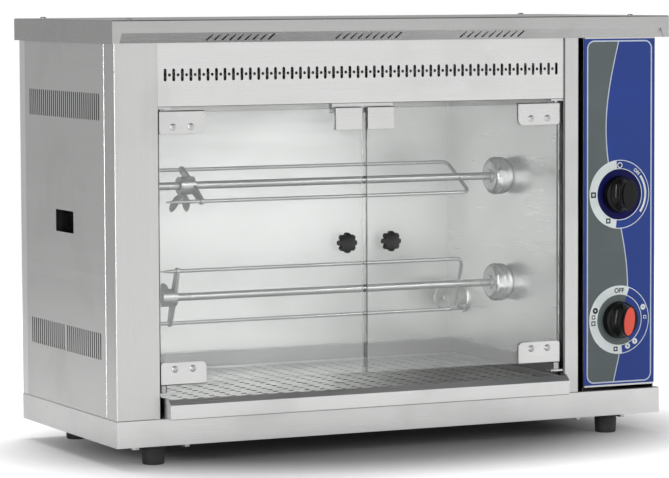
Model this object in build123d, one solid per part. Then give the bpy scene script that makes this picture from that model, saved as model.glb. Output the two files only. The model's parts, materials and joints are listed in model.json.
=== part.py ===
from build123d import *
import os

# Two-spit rotisserie oven. Millimetres, +Z up, +X to the right, front towards -Y.
# Pieces are drawn from the lower left front corner of the body: X from the left side,
# Y back from the front of the posts, Z up from the underside of the base.

# Sheets and clearances
sheet = 1.5
drawer_sheet = 1.2
bend_radius = 2.2
drawer_bend = 1.5
seam_gap = 0.3
running_gap = 0.05
sliding_gap = 0.08
loose_gap = 0.3

# Front, from left to right
left_post_width = 75.0
opening_width = 737.0
right_post_width = 29.0
panel_gap = 9.0
panel_width = 140.0
base_overhang = 10.0

# Heights, from the base upwards
base_height = 44.0
opening_height = 497.0
header_height = 137.0

# Depths, from the front of the posts backwards
body_depth = 430.0
post_flange_depth = 43.0
post_return_depth = 20.0
panel_flange_depth = 25.0
back_return_depth = 27.0
header_setback = 2.0

# Feet and the bolts beside them
foot_height = 34.0
foot_top_radius = 20.0
foot_sole_radius = 17.0
foot_rim_height = 6.0
foot_inset_x = 80.0
foot_inset_y = 45.0
bolt_radius = 7.5
bolt_height = 10.0
bolt_outer_spread = 30.0
bolt_inner_spread = 57.0

# Top cover
cover_front_reach = 14.0
cover_left_reach = 7.5
cover_right_reach = 9.0
cover_rear_reach = 2.0
fascia_height = 20.0
skirt_height = 36.5
end_tab_top = 16.0
end_tab_foot = 12.0
cover_slot_width = 3.2
cover_slot_length = 15.0
cover_slot_angle = -35.0
cover_slot_pitch = 13.5
cover_slot_count = 9
cover_group_count = 3
cover_group_pitch = 228.0
cover_screw_inset_x = 36.0
cover_screw_inset_y = 22.0

# Domed screws
screw_head_radius = 5.5
screw_head_height = 2.6

# Vents of the header and the side panels
header_row_height = 51.0
header_slot_width = 5.0
header_slot_length = 20.5
header_slot_pitch = 14.8
header_vent_margin = 9.0
header_dot_radius = 2.6
side_vent_margin = 23.0
side_slot_width = 4.0
side_slot_length = 43.0
side_slot_pitch = 9.2
side_group_gap = 15.0
upper_vent_height = 497.0
lower_vent_height = 113.0
cutout_length = 80.0
cutout_height = 36.0
cutout_centre_height = 305.0

# Cavity
side_reveal = 3.5
cavity_front = 22.0
cavity_back_gap = 12.0
cavity_height = 566.0
liner_side_step = 6.0
liner_back_step = 28.0
liner_top_height = 56.0

# Glass doors
glass_thickness = 6.0
glass_setback = 8.0
door_side_gap = 4.0
door_middle_gap = 8.0
door_bottom_gap = 51.5
door_top_gap = 6.0
clamp_sheet = 1.5
clamp_width = 79.0
clamp_height = 37.0
clamp_corner = 9.0
clamp_outer_corner = 5.0
clamp_seat_gap = 0.8
clamp_screw_inset = 24.0
clamp_screw_spacing = 31.0
clamp_screw_edge = 11.0
catch_width = 48.0
catch_edge_inset = 1.0
pin_radius = 4.0
pin_collar_radius = 6.2
pin_inset = 5.0
pin_top_reach = 11.0
bracket_thickness = 3.0
bracket_width = 23.0
bracket_depth = 17.0
lower_bracket_height = 37.0
pin_tail = 1.5
pin_hole_gap = 1.0
magnet_width = 112.0
magnet_depth = 12.0
magnet_height = 16.0
door_knob_height = 270.0
door_knob_offset = 40.0
door_knob_core = 12.5
door_knob_lobe = 4.4
door_knob_lobe_count = 8
door_knob_thickness = 14.0
door_knob_neck_radius = 7.0
door_knob_neck = 10.0
door_knob_dome = 26.0

# Drip drawer and the grid that lies in it
drawer_front_reach = 30.0
drawer_front_inset = 5.0
drawer_face_height = 23.7
drawer_slope_run = 12.0
drawer_slope_rise = 10.0
drawer_lip = 4.2
drawer_side_gap = 2.5
drawer_back_gap = 4.0
drawer_pan_depth = 27.0
drawer_ledge = 8.0
drawer_rim = 4.0
grid_hole = 9.0
grid_pitch_x = 28.3
grid_pitch_y = 22.8
grid_margin = 18.0
grid_finger_radius = 9.0
grid_finger_setback = 76.0

# Spits, forks, wing screws and drive bells
spit_setback = 196.0
upper_spit_height = 359.0
lower_spit_height = 174.0
upper_spit_angle = -60.0
lower_spit_angle = 20.7
spit_radius = 6.5
spit_tail = 18.0
spit_square = 10.0
spit_square_length = 19.0
prong_radius = 3.0
prong_offset = 48.0
prong_bend = 12.0
prong_tip_start = 72.0
prong_tip_length = 16.0
prong_tip_radius = 0.8
prong_root_inset = 96.0
upper_fork_start = 112.0
lower_fork_start = 78.0
collar_radius = 15.0
collar_length = 26.0
fork_thickness = 5.0
fork_end_radius = 5.5
fork_root_radius = 9.0
wing_stem_radius = 4.0
wing_hub_radius = 6.5
wing_hub_height = 9.0
wing_leaf_width = 12.0
wing_leaf_length = 32.0
wing_leaf_thickness = 4.0
wing_leaf_angle = 14.0
bell_radius = 32.0
bell_length = 37.0
bell_base_radius = 27.0
bell_face_radius = 18.0
bell_ring_radius = 12.0
bell_ring_depth = 2.5
bell_wall_gap = 0.5
bell_shoulder = 3.0
drive_shaft_radius = 7.0
drive_shaft_reach = 27.0
shaft_hole_gap = 1.0
bush_flange_radius = 18.0
bush_flange_thickness = 4.0
bush_barrel_radius = 11.0
bush_barrel_length = 16.0

# Gear motors behind the right wall
gearbox_size = 72.0
gearbox_length = 40.0
gearbox_corner = 6.0
motor_radius = 27.0
motor_length = 55.0
motor_chamfer = 3.0

# Oven lamp
lamp_setback = 360.0
lamp_height = 134.0
lamp_flange_radius = 28.0
lamp_flange_thickness = 5.0
lamp_glass_radius = 24.0
lamp_glass_wall = 2.0
lamp_glass_length = 56.0
lamp_bulb_radius = 6.0
lamp_bulb_length = 30.0
lamp_holder_radius = 14.0
lamp_holder_front = 13.0
lamp_holder_length = 42.0

# Heating elements under the ceiling
element_radius = 4.0
element_drop = 20.0
element_count = 3
element_first_setback = 90.0
element_pitch = 100.0
element_bend_radius = 20.0
element_left_gap = 30.0
element_terminal = 25.0
hanger_thickness = 2.0
hanger_margin = 15.0
hanger_lip = 8.0
hanger_inset = 170.0

# Control panel, dials and what is behind them
panel_foot_gap = 6.0
overlay_thickness = 0.8
overlay_margin = 1.0
overlay_bottom = 9.0
overlay_top_gap = 2.0
upper_dial_height = 333.0
lower_dial_height = 119.0
dial_knob_radius = 32.0
dial_knob_top_radius = 30.0
dial_knob_base = 12.0
grip_height = 22.0
grip_root_length = 59.0
grip_root_width = 44.0
grip_waist_height = 9.0
grip_waist_length = 54.0
grip_waist_width = 29.0
grip_length = 52.0
grip_width = 24.0
lower_knob_angle = -7.0
inlay_margin = 2.0
inlay_thickness = 0.8
spindle_radius = 3.0
spindle_length = 15.0
spindle_hole = 5.0
switch_size = 40.0
switch_depth = 28.0

# Mains connection
terminal_length = 60.0
terminal_depth = 25.0
terminal_height = 22.0
terminal_back_gap = 20.0
gland_height = 56.0
gland_hex_radius = 15.0
gland_hex_height = 5.0
gland_dome_radius = 10.0
gland_mouth_radius = 8.0
gland_reach = 12.0
gland_bore = 5.0

# Places that follow from the sizes above
opening_left = left_post_width
opening_right = opening_left + opening_width
opening_centre = opening_left + opening_width / 2
panel_left = opening_right + right_post_width + panel_gap
body_width = panel_left + panel_width
base_width = body_width + base_overhang
panel_centre = panel_left + panel_width / 2
header_bottom = base_height + opening_height
body_top = header_bottom + header_height
cover_top = body_top + sheet
cover_bottom = cover_top - skirt_height
cover_left = -cover_left_reach
cover_right = base_width + cover_right_reach
cover_back = body_depth + cover_rear_reach
cavity_left = opening_left + side_reveal
cavity_right = opening_right - side_reveal
cavity_back = body_depth - cavity_back_gap
cavity_top = base_height + cavity_height
pin_setback = glass_setback + glass_thickness / 2
door_left = opening_left + door_side_gap
door_right = opening_centre - door_middle_gap / 2
door_bottom = base_height + door_bottom_gap
door_top = header_bottom - door_top_gap
pin_place = door_left + pin_inset
lower_bracket_bottom = base_height + lower_bracket_height
drawer_bottom = base_height + seam_gap
upper_spit_z = base_height + upper_spit_height
lower_spit_z = base_height + lower_spit_height
bell_face = cavity_right - bell_wall_gap - bell_length
element_z = cavity_top - element_drop
lamp_z = base_height + lamp_height
upper_dial_z = base_height + upper_dial_height
lower_dial_z = base_height + lower_dial_height
gland_z = base_height + gland_height

knob_reach = overlay_thickness + seam_gap + dial_knob_base + grip_height + inlay_thickness
front_reach = max(drawer_front_reach, knob_reach)

# The finished part stands on its feet, centred on its outline
frame_shift = Pos(
    -(cover_left + cover_right) / 2,
    -(body_depth + gland_reach - front_reach) / 2,
    foot_height,
)


def block(x_span, y_span, z_span):
    sizes = [high - low for low, high in (x_span, y_span, z_span)]
    middle = [(low + high) / 2 for low, high in (x_span, y_span, z_span)]
    return Pos(*middle) * Box(*sizes)


def folded(points, thickness, bend=bend_radius):
    # Cross-section of a bent sheet whose outer face follows the points; no bend leaves it square
    path = FilletPolyline(*points, radius=bend) if bend else Polyline(*points)
    faces = [
        make_face(offset(path, amount=thickness, side=side, kind=Kind.INTERSECTION, closed=True))
        for side in (Side.LEFT, Side.RIGHT)
    ]
    return min(faces, key=lambda face: face.area)


def folded_up(points, thickness, bottom, top):
    return extrude(Pos(0, 0, bottom) * folded(points, thickness), top - bottom)


def folded_across(points, thickness, left, right, bend=bend_radius):
    return extrude(Plane.YZ.offset(left) * folded(points, thickness, bend), right - left)


def row(first, last, pitch):
    # Evenly spaced places, centred between two ends
    count = int((last - first) / pitch) + 1
    start = (first + last - (count - 1) * pitch) / 2
    return [start + i * pitch for i in range(count)]


def dome(radius, height):
    # Low round screw head standing on the XY plane
    ball = (radius**2 + height**2) / (2 * height)
    slab = Pos(0, 0, height / 2) * Box(3 * radius, 3 * radius, height)
    return Pos(0, 0, height - ball) * Sphere(ball) & slab


def rod(radius, left, right):
    # Round bar lying along X
    return Pos((left + right) / 2, 0, 0) * Rot(0, 90, 0) * Cylinder(radius, right - left)


def facing_front(shape, x, y, z):
    # Turns a shape that stands on the XY plane to point forwards
    return Pos(x, y, z) * Rot(90, 0, 0) * shape


def tray(x_span, y_span, z_span):
    # Sheet box open below, with its top edges bent round
    outer = block(x_span, y_span, z_span)
    outer = fillet(outer.faces().sort_by(Axis.Z)[-1].edges(), bend_radius)
    inner_x, inner_y = [(low + sheet, high - sheet) for low, high in (x_span, y_span)]
    inside = block(inner_x, inner_y, (z_span[0] - sheet, z_span[1] - sheet))
    return outer - inside


def base_plinth():
    return tray((0, base_width), (0, body_depth), (0, base_height))


def base_bottom():
    return block((sheet, base_width - sheet), (sheet, body_depth - sheet), (0, sheet))


def foot_places():
    across = (foot_inset_x, base_width - foot_inset_x)
    along = (foot_inset_y, body_depth - foot_inset_y)
    return [(x, y) for x in across for y in along]


def feet():
    outline = Polyline(
        (0, 0),
        (foot_top_radius, 0),
        (foot_top_radius, -foot_rim_height),
        (foot_sole_radius + 1, -foot_height + 1),
        (foot_sole_radius, -foot_height),
        (0, -foot_height),
        close=True,
    )
    foot = revolve(Plane.XZ * make_face(outline), axis=Axis.Z)
    return Part() + [Pos(x, y, 0) * foot for x, y in foot_places()]


def base_bolts():
    # One bolt either side of each foot, the nearer one towards the end of the base
    bolt = extrude(RegularPolygon(bolt_radius, 6), -bolt_height)
    bolts = []
    for x, y in foot_places():
        inwards = 1 if x < body_width / 2 else -1
        bolts += [Pos(x + inwards * reach, y, 0) * bolt for reach in (-bolt_outer_spread, bolt_inner_spread)]
    return Part() + bolts


def left_front_post():
    points = [
        (0, post_flange_depth),
        (0, 0),
        (opening_left, 0),
        (opening_left, post_return_depth),
    ]
    return folded_up(points, sheet, base_height, body_top)


def right_front_post():
    points = [
        (opening_right, post_return_depth),
        (opening_right, 0),
        (opening_right + right_post_width, 0),
        (opening_right + right_post_width, panel_flange_depth),
    ]
    return folded_up(points, sheet, base_height, body_top)


def side_vents(front, back):
    # Two bands of upright slots and a rectangular cut-out between them
    first = front + side_vent_margin
    last = back - side_vent_margin
    middle = (first + last) / 2
    slot = Rectangle(side_slot_width, side_slot_length)
    upper = [Pos(y, base_height + upper_vent_height) * slot for y in row(first, last, side_slot_pitch)]
    lower_places = row(first, middle - side_group_gap / 2, side_slot_pitch)
    lower_places += row(middle + side_group_gap / 2, last, side_slot_pitch)
    lower = [Pos(y, base_height + lower_vent_height) * slot for y in lower_places]
    cutout = Pos(middle, base_height + cutout_centre_height) * Rectangle(cutout_length, cutout_height)
    return upper + lower + [cutout]


def side_panel(outer_x, front):
    back = body_depth - back_return_depth - seam_gap
    size = (back - front, body_top - base_height)
    plate = Pos((front + back) / 2, (base_height + body_top) / 2) * Rectangle(*size)
    plate -= side_vents(front, back)
    return extrude(Plane.YZ.offset(outer_x) * plate, sheet)


def left_side_panel():
    return side_panel(0, post_flange_depth + seam_gap)


def right_side_panel():
    return side_panel(body_width - sheet, panel_flange_depth + seam_gap)


def back_panel():
    points = [
        (body_width, body_depth - back_return_depth),
        (body_width, body_depth),
        (0, body_depth),
        (0, body_depth - back_return_depth),
    ]
    panel = folded_up(points, sheet, base_height, body_top)
    return panel - Pos(panel_centre, body_depth, gland_z) * Rot(90, 0, 0) * Cylinder(gland_bore, 4 * sheet)


def header_panel():
    points = [
        (header_setback, body_top),
        (header_setback, header_bottom),
        (cavity_front - seam_gap, header_bottom),
    ]
    panel = folded_across(points, sheet, opening_left, opening_right)
    places = row(opening_left + header_vent_margin, opening_right - header_vent_margin, header_slot_pitch)
    slot = SlotOverall(header_slot_length, header_slot_width, rotation=90)
    dot = Circle(header_dot_radius)
    vents = Sketch() + [Pos(x, header_bottom + header_row_height) * slot for x in places]
    vents += [
        Pos(x + header_slot_pitch / 2, header_bottom + header_row_height) * dot for x in places[:-1]
    ]
    panel -= extrude(Plane.XZ * vents, -3 * (header_setback + sheet))
    pin_hole = Pos(pin_place, pin_setback, header_bottom) * Cylinder(pin_radius + pin_hole_gap, 4 * sheet)
    return panel - pin_hole - mirrored(pin_hole)


def mirrored(shape):
    # The right door and its pivots mirror the left ones
    return mirror(shape, about=Plane.YZ.offset(opening_centre))


def top_cover():
    chamfer_end = -(sheet + seam_gap)
    chamfer_top = cover_top - fascia_height
    cover = tray((cover_left, cover_right), (-cover_front_reach, cover_back), (cover_bottom, cover_top))
    # The front skirt is cut away below the fascia, apart from a tab at each end
    window = [
        (cover_left + end_tab_top, chamfer_top),
        (cover_right - end_tab_top, chamfer_top),
        (cover_right - end_tab_foot, cover_bottom),
        (cover_left + end_tab_foot, cover_bottom),
    ]
    window_face = make_face(Polyline(*window, close=True))
    cover -= extrude(Plane.XZ.offset(cover_front_reach) * window_face, sheet, both=True)
    strip_points = [
        (-cover_front_reach, chamfer_top + 2 * bend_radius),
        (-cover_front_reach, chamfer_top),
        (chamfer_end, cover_bottom),
    ]
    strip = folded_across(strip_points, sheet, cover_left + sheet, cover_right - sheet)
    return cover + (strip - cover_slots(chamfer_end))


def cover_slots(chamfer_end):
    run = cover_front_reach + chamfer_end
    drop = skirt_height - fascia_height
    middle = (opening_centre, (chamfer_end - cover_front_reach) / 2, cover_bottom + drop / 2)
    strip = Plane(origin=middle, x_dir=(1, 0, 0), z_dir=(0, -drop, -run))
    slot = Rot(0, 0, cover_slot_angle) * Box(cover_slot_width, cover_slot_length, 4 * sheet)
    half = (cover_slot_count - 1) / 2
    places = [
        (group - (cover_group_count - 1) / 2) * cover_group_pitch + (i - half) * cover_slot_pitch
        for group in range(cover_group_count)
        for i in range(cover_slot_count)
    ]
    return [strip * Pos(x, 0, 0) * slot for x in places]


def top_cover_screws():
    head = dome(screw_head_radius, screw_head_height)
    across = (cover_screw_inset_x, body_width - cover_screw_inset_x)
    along = (cover_screw_inset_y, body_depth - cover_screw_inset_y)
    return Part() + [Pos(x, y, cover_top) * head for x in across for y in along]


def inner_left_wall():
    wall = block((cavity_left - sheet, cavity_left), (cavity_front, cavity_back), (base_height, cavity_top))
    hole = rod(bush_barrel_radius + loose_gap, -2 * sheet, sheet)
    return wall - [Pos(cavity_left, spit_setback, z) * hole for z in (upper_spit_z, lower_spit_z)]


def inner_right_wall():
    wall = block((cavity_right, cavity_right + sheet), (cavity_front, cavity_back), (base_height, cavity_top))
    shaft_hole = rod(drive_shaft_radius + shaft_hole_gap, -sheet, 2 * sheet)
    lamp_hole = rod(lamp_holder_radius + loose_gap, -sheet, 2 * sheet)
    element_hole = rod(element_radius + loose_gap, -sheet, 2 * sheet)
    wall -= [Pos(cavity_right, spit_setback, z) * shaft_hole for z in (upper_spit_z, lower_spit_z)]
    wall -= Pos(cavity_right, lamp_setback, lamp_z) * lamp_hole
    return wall - [Pos(cavity_right, y, element_z) * element_hole for y in element_runs()]


def inner_back_wall():
    return block(
        (cavity_left - sheet, cavity_right + sheet),
        (cavity_back, cavity_back + sheet),
        (base_height, cavity_top),
    )


def inner_ceiling():
    return block(
        (cavity_left - sheet, cavity_right + sheet),
        (cavity_front, cavity_back + sheet),
        (cavity_top, cavity_top + sheet),
    )


def liner_bottom():
    # Just above the rim of the drawer that slides out underneath
    return drawer_bottom + drawer_pan_depth + drawer_rim + seam_gap


def floor_liner():
    top = base_height + liner_top_height
    side_points = [(cavity_left, top), (cavity_left + liner_side_step, top)]
    side_points += [(cavity_left + liner_side_step, liner_bottom())]
    section = Plane.XZ.offset(-cavity_front) * folded(side_points, sheet)
    left_strip = extrude(section, cavity_front - cavity_back)
    back_points = [(cavity_back, top), (cavity_back - liner_back_step, top)]
    back_points += [(cavity_back - liner_back_step, liner_bottom())]
    back_strip = folded_across(back_points, sheet, cavity_left, cavity_right)
    return back_strip + left_strip + mirrored(left_strip)


def drip_drawer():
    left = cavity_left + liner_side_step + drawer_side_gap
    right = cavity_right - liner_side_step - drawer_side_gap
    ledge = drawer_bottom + drawer_pan_depth
    rim = ledge + drawer_rim
    pan_points = [
        (left, rim),
        (left, ledge),
        (left + drawer_ledge, ledge),
        (left + drawer_ledge, drawer_bottom),
        (right - drawer_ledge, drawer_bottom),
        (right - drawer_ledge, ledge),
        (right, ledge),
        (right, rim),
    ]
    front = drawer_slope_run - drawer_front_reach
    back = cavity_back - liner_back_step - drawer_back_gap
    section = Plane.XZ.offset(-front) * folded(pan_points, drawer_sheet, 0)
    pan = extrude(section, front - back)
    back_face = make_face(Polyline(*pan_points, close=True))
    pan += extrude(Plane.XZ.offset(-back) * back_face, drawer_sheet)
    return pan + drawer_front()


def drawer_front():
    left = opening_left + drawer_front_inset
    right = opening_right - drawer_front_inset
    face_top = drawer_bottom + drawer_face_height
    slope_back = drawer_slope_run - drawer_front_reach
    slope_top = face_top + drawer_slope_rise
    points = [
        (0, drawer_bottom),
        (-drawer_front_reach, drawer_bottom),
        (-drawer_front_reach, face_top),
        (slope_back, slope_top),
        (slope_back, slope_top - drawer_lip),
    ]
    front = folded_across(points, drawer_sheet, left, right, drawer_bend)
    cap_points = points[:4] + [(-drawer_sheet, slope_top), (-drawer_sheet, drawer_bottom)]
    cap = extrude(Plane.YZ.offset(left) * make_face(Polyline(*cap_points, close=True)), drawer_sheet)
    return front + cap + mirrored(cap)


def drip_grid():
    left = cavity_left + liner_side_step + drawer_side_gap + drawer_sheet + seam_gap
    right = cavity_right - liner_side_step - drawer_side_gap - drawer_sheet - seam_gap
    front = drawer_slope_run - drawer_front_reach + drawer_sheet + seam_gap
    back = cavity_back - liner_back_step - drawer_back_gap - drawer_sheet - seam_gap
    plate = Pos((left + right) / 2, (front + back) / 2) * Rectangle(right - left, back - front)
    columns = row(left + grid_margin, right - grid_margin, grid_pitch_x)
    lines = row(front + grid_margin, back - grid_margin, grid_pitch_y)
    finger_place = Pos(min(columns, key=lambda x: abs(x - opening_centre)), grid_finger_setback)
    plate -= [Pos(x, y) * Rectangle(grid_hole, grid_hole) for x in columns for y in lines]
    plate -= finger_place * Circle(grid_finger_radius)
    return extrude(Pos(0, 0, drawer_bottom + drawer_pan_depth + drawer_sheet) * plate, drawer_sheet)


def door_glass():
    hole = Pos(knob_place(), glass_setback, base_height + door_knob_height) * Rot(90, 0, 0)
    plate = block(
        (door_left, door_right),
        (glass_setback, glass_setback + glass_thickness),
        (door_bottom + clamp_sheet + clamp_seat_gap, door_top - clamp_sheet - clamp_seat_gap),
    )
    return plate - hole * Cylinder(spindle_radius, 4 * glass_thickness)


def knob_place():
    return opening_centre - door_knob_offset


def clamp(left, right, edge, direction):
    # Channel folded over a glass edge; direction is the way its legs point
    front = glass_setback - clamp_sheet
    back = glass_setback + glass_thickness + clamp_sheet
    end = edge + direction * clamp_height
    points = [(front, end), (front, edge), (back, edge), (back, end)]
    return folded_across(points, clamp_sheet, left, right)


def hinge_clamps():
    right = door_left + clamp_width
    upper = clamp(door_left, right, door_top, -1)
    lower = clamp(door_left, right, door_bottom, 1)
    for x, radius in ((right, clamp_corner), (door_left, clamp_outer_corner)):
        upper = fillet(corner_edges(upper, x, door_top - clamp_height), radius)
        lower = fillet(corner_edges(lower, x, door_bottom + clamp_height), radius)
    return Part() + [upper, lower]


def corner_edges(shape, x, z):
    # Short edges through the sheet at one corner of a clamp
    edges = shape.edges().filter_by(Axis.Y)
    return [e for e in edges if abs(e.center().X - x) < 0.01 and abs(e.center().Z - z) < 0.01]


def door_screws():
    head = dome(screw_head_radius, screw_head_height)
    first = door_left + clamp_screw_inset
    across = (first, first + clamp_screw_spacing)
    heights = (
        door_top - clamp_height + clamp_screw_edge,
        door_bottom + clamp_height - clamp_screw_edge,
    )
    screws = [facing_front(head, x, glass_setback - clamp_sheet, z) for x in across for z in heights]
    behind = glass_setback + glass_thickness
    knob_screw = Pos(knob_place(), behind, base_height + door_knob_height) * Rot(-90, 0, 0) * head
    return Part() + screws + knob_screw


def hinge_pins():
    upper = Pos(0, 0, door_top + pin_top_reach / 2) * Cylinder(pin_radius, pin_top_reach)
    collar_bottom = lower_bracket_bottom + bracket_thickness + seam_gap
    collar_length = door_bottom - collar_bottom
    collar = Pos(0, 0, collar_bottom + collar_length / 2) * Cylinder(pin_collar_radius, collar_length)
    tail_length = collar_bottom - lower_bracket_bottom + pin_tail
    tail = Pos(0, 0, collar_bottom - tail_length / 2) * Cylinder(pin_radius, tail_length)
    return Pos(pin_place, pin_setback, 0) * (Part() + [upper, collar + tail])


def pivot_brackets():
    # Drilled tabs that carry the door pins, two on each post
    front = pin_setback - bracket_depth / 2
    back = pin_setback + bracket_depth / 2
    hole = Cylinder(pin_radius + running_gap, 4 * bracket_thickness)
    tabs = []
    for bottom in (lower_bracket_bottom, header_bottom - bracket_thickness):
        tab = block(
            (opening_left, opening_left + bracket_width),
            (front, back),
            (bottom, bottom + bracket_thickness),
        )
        tabs.append(tab - Pos(pin_place, pin_setback, bottom) * hole)
    left = Part() + tabs
    return left + mirrored(left)


def catch_plate():
    right = door_right - catch_edge_inset
    return clamp(right - catch_width, right, door_top, -1)


def magnet_catch():
    front = glass_setback + glass_thickness + clamp_sheet + seam_gap
    return block(
        (opening_centre - magnet_width / 2, opening_centre + magnet_width / 2),
        (front, front + magnet_depth),
        (header_bottom - magnet_height, header_bottom),
    )


def door_knob():
    outline = Circle(door_knob_core)
    outline += PolarLocations(door_knob_core, door_knob_lobe_count) * Circle(door_knob_lobe)
    head = extrude(Pos(0, 0, door_knob_neck) * outline, door_knob_thickness)
    top = door_knob_neck + door_knob_thickness
    head &= Pos(0, 0, top - door_knob_dome) * Sphere(door_knob_dome)
    neck = Pos(0, 0, door_knob_neck / 2) * Cylinder(door_knob_neck_radius, door_knob_neck)
    return facing_front(head + neck, knob_place(), glass_setback, base_height + door_knob_height)


def spit_axis(height):
    return Pos(0, spit_setback, height)


def prong(side):
    # Rod beside the shaft, bent in to meet it near the drive end
    root = cavity_right - prong_root_inset
    start = cavity_left + prong_tip_start + prong_tip_length
    reach = side * prong_offset
    path = FilletPolyline((start, 0, reach), (root, 0, reach), (root, 0, 0), radius=prong_bend)
    wire = sweep(Plane(origin=(start, 0, reach), z_dir=(1, 0, 0)) * Circle(prong_radius), path=path)
    tip = Cone(prong_tip_radius, prong_radius, prong_tip_length)
    tip = Pos(start - prong_tip_length / 2, 0, reach) * Rot(0, 90, 0) * tip
    return wire + tip


def spit(height, turn):
    left = cavity_left - spit_tail
    right = bell_face - seam_gap
    shaft = rod(spit_radius, left, right)
    square = Pos(right + spit_square_length / 2, 0, 0) * Box(spit_square_length, spit_square, spit_square)
    return spit_axis(height) * Rot(turn, 0, 0) * (shaft + square + prong(1) + prong(-1))


def fork(height, turn, start):
    left = cavity_left + start
    right = left + collar_length
    outline = make_hull(
        [
            Circle(fork_root_radius).edge(),
            (Pos(0, prong_offset) * Circle(fork_end_radius)).edge(),
            (Pos(0, -prong_offset) * Circle(fork_end_radius)).edge(),
        ]
    )
    outline -= [Pos(0, side * prong_offset) * Circle(prong_radius + loose_gap) for side in (-1, 1)]
    bar = extrude(Plane.YZ.offset(right - fork_thickness) * outline, fork_thickness)
    collar = rod(collar_radius, left, right)
    bore = rod(spit_radius + sliding_gap, left - sheet, right + sheet)
    screw_hole = Pos(0, 0, collar_radius) * Cylinder(wing_stem_radius + running_gap, 2 * collar_radius)
    shape = bar + collar - bore - Pos(wing_place(start), 0, 0) * Rot(-90, 0, 0) * screw_hole
    return spit_axis(height) * Rot(turn, 0, 0) * shape


def wing_place(start):
    return cavity_left + start + (collar_length - fork_thickness) / 2


def wing_screw(height, turn, start):
    stem_end = spit_radius + sliding_gap + loose_gap
    hub_bottom = collar_radius + loose_gap
    hub_top = hub_bottom + wing_hub_height
    stem = Pos(0, 0, (stem_end + hub_bottom) / 2) * Cylinder(wing_stem_radius, hub_bottom - stem_end)
    hub = Pos(0, 0, (hub_bottom + hub_top) / 2) * Cylinder(wing_hub_radius, wing_hub_height)
    outline = Ellipse(wing_leaf_width / 2, wing_leaf_length / 2)
    leaf = extrude(Plane.XZ * outline, wing_leaf_thickness / 2, both=True)
    screw = stem + hub
    for side in (-1, 1):
        lean = Rot(0, side * wing_leaf_angle, 0) * Pos(0, 0, wing_leaf_length / 2)
        screw += Pos(side * wing_hub_radius, 0, hub_bottom + wing_hub_height / 2) * lean * leaf
    return spit_axis(height) * Rot(turn, 0, 0) * Pos(wing_place(start), 0, 0) * Rot(-90, 0, 0) * screw


def drive_bell(height, turn):
    # Domed hub on the wall with a ringed face and a square socket for the spit
    widest = -bell_length / 2
    ring = bell_ring_radius
    steps = Polyline(
        (0, 0),
        (-bell_length, 0),
        (-bell_length, ring),
        (bell_ring_depth - bell_length, ring),
        (bell_ring_depth - bell_length, bell_face_radius),
    )
    shoulder_radius = bell_radius - bell_shoulder
    shoulder = (bell_ring_depth - bell_length + bell_shoulder, shoulder_radius)
    front = ThreePointArc(steps @ 1, shoulder, (widest, bell_radius))
    heel = (widest / 3, (bell_base_radius + 3 * bell_radius) / 4)
    back = ThreePointArc((widest, bell_radius), heel, (0, bell_base_radius))
    close = Line((0, bell_base_radius), (0, 0))
    dome_shape = revolve(make_face(steps + front + back + close), axis=Axis.X)
    shaft = rod(drive_shaft_radius, 0, drive_shaft_reach)
    socket_size = spit_square + 2 * loose_gap
    socket_depth = spit_square_length + 1
    socket = Pos(socket_depth / 2 - bell_length, 0, 0) * Box(socket_depth, socket_size, socket_size)
    hub = dome_shape + shaft - socket
    return spit_axis(height) * Rot(turn, 0, 0) * Pos(cavity_right - bell_wall_gap, 0, 0) * hub


def spit_bushes():
    flange = rod(bush_flange_radius, 0, bush_flange_thickness)
    barrel = rod(bush_barrel_radius, -bush_barrel_length, 0)
    bore = rod(spit_radius + sliding_gap, -2 * bush_barrel_length, 2 * bush_flange_thickness)
    bush = flange + barrel - bore
    return Part() + [Pos(cavity_left, spit_setback, z) * bush for z in (upper_spit_z, lower_spit_z)]


def gearboxes():
    outline = RectangleRounded(gearbox_size, gearbox_size, gearbox_corner)
    bore_depth = drive_shaft_reach - bell_wall_gap - sheet + 1
    boxes = []
    for z in (upper_spit_z, lower_spit_z):
        place = Plane(origin=(cavity_right + sheet, spit_setback, z), z_dir=(1, 0, 0))
        bore = place * Pos(0, 0, bore_depth / 2) * Cylinder(drive_shaft_radius + running_gap, bore_depth)
        boxes.append(extrude(place * outline, gearbox_length) - bore)
    return Part() + boxes


def motors():
    middle = cavity_right + sheet + gearbox_length + motor_length / 2
    can = Rot(0, 90, 0) * Cylinder(motor_radius, motor_length)
    can = chamfer(can.edges().filter_by(GeomType.CIRCLE), motor_chamfer)
    return Part() + [Pos(middle, spit_setback, z) * can for z in (upper_spit_z, lower_spit_z)]


def lamp_axis():
    return Pos(cavity_right, lamp_setback, lamp_z)


def lamp_flange():
    ring = Cylinder(lamp_flange_radius, lamp_flange_thickness)
    ring -= Cylinder(lamp_glass_radius + loose_gap, 2 * lamp_flange_thickness)
    ring = chamfer(ring.edges().filter_by(GeomType.CIRCLE).sort_by(SortBy.RADIUS)[-2:].sort_by(Axis.Z)[0], 2)
    return lamp_axis() * Pos(-lamp_flange_thickness / 2, 0, 0) * Rot(0, 90, 0) * ring


def jar(radius, length):
    # Round-ended tube along -X with its flat end at the origin
    tube_length = length - radius
    return rod(radius, -tube_length, 0) + Pos(-tube_length, 0, 0) * Sphere(radius)


def lamp_glass():
    outer = jar(lamp_glass_radius, lamp_glass_length)
    inner = jar(lamp_glass_radius - lamp_glass_wall, lamp_glass_length - lamp_glass_wall)
    return lamp_axis() * (outer - inner)


def lamp_bulb():
    return lamp_axis() * Pos(-lamp_holder_front, 0, 0) * jar(lamp_bulb_radius, lamp_bulb_length)


def lamp_holder():
    return lamp_axis() * rod(lamp_holder_radius, -lamp_holder_front, lamp_holder_length - lamp_holder_front)


def element_runs():
    starts = [element_first_setback + i * element_pitch for i in range(element_count)]
    return [y + side * element_bend_radius for y in starts for side in (-1, 1)]


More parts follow.
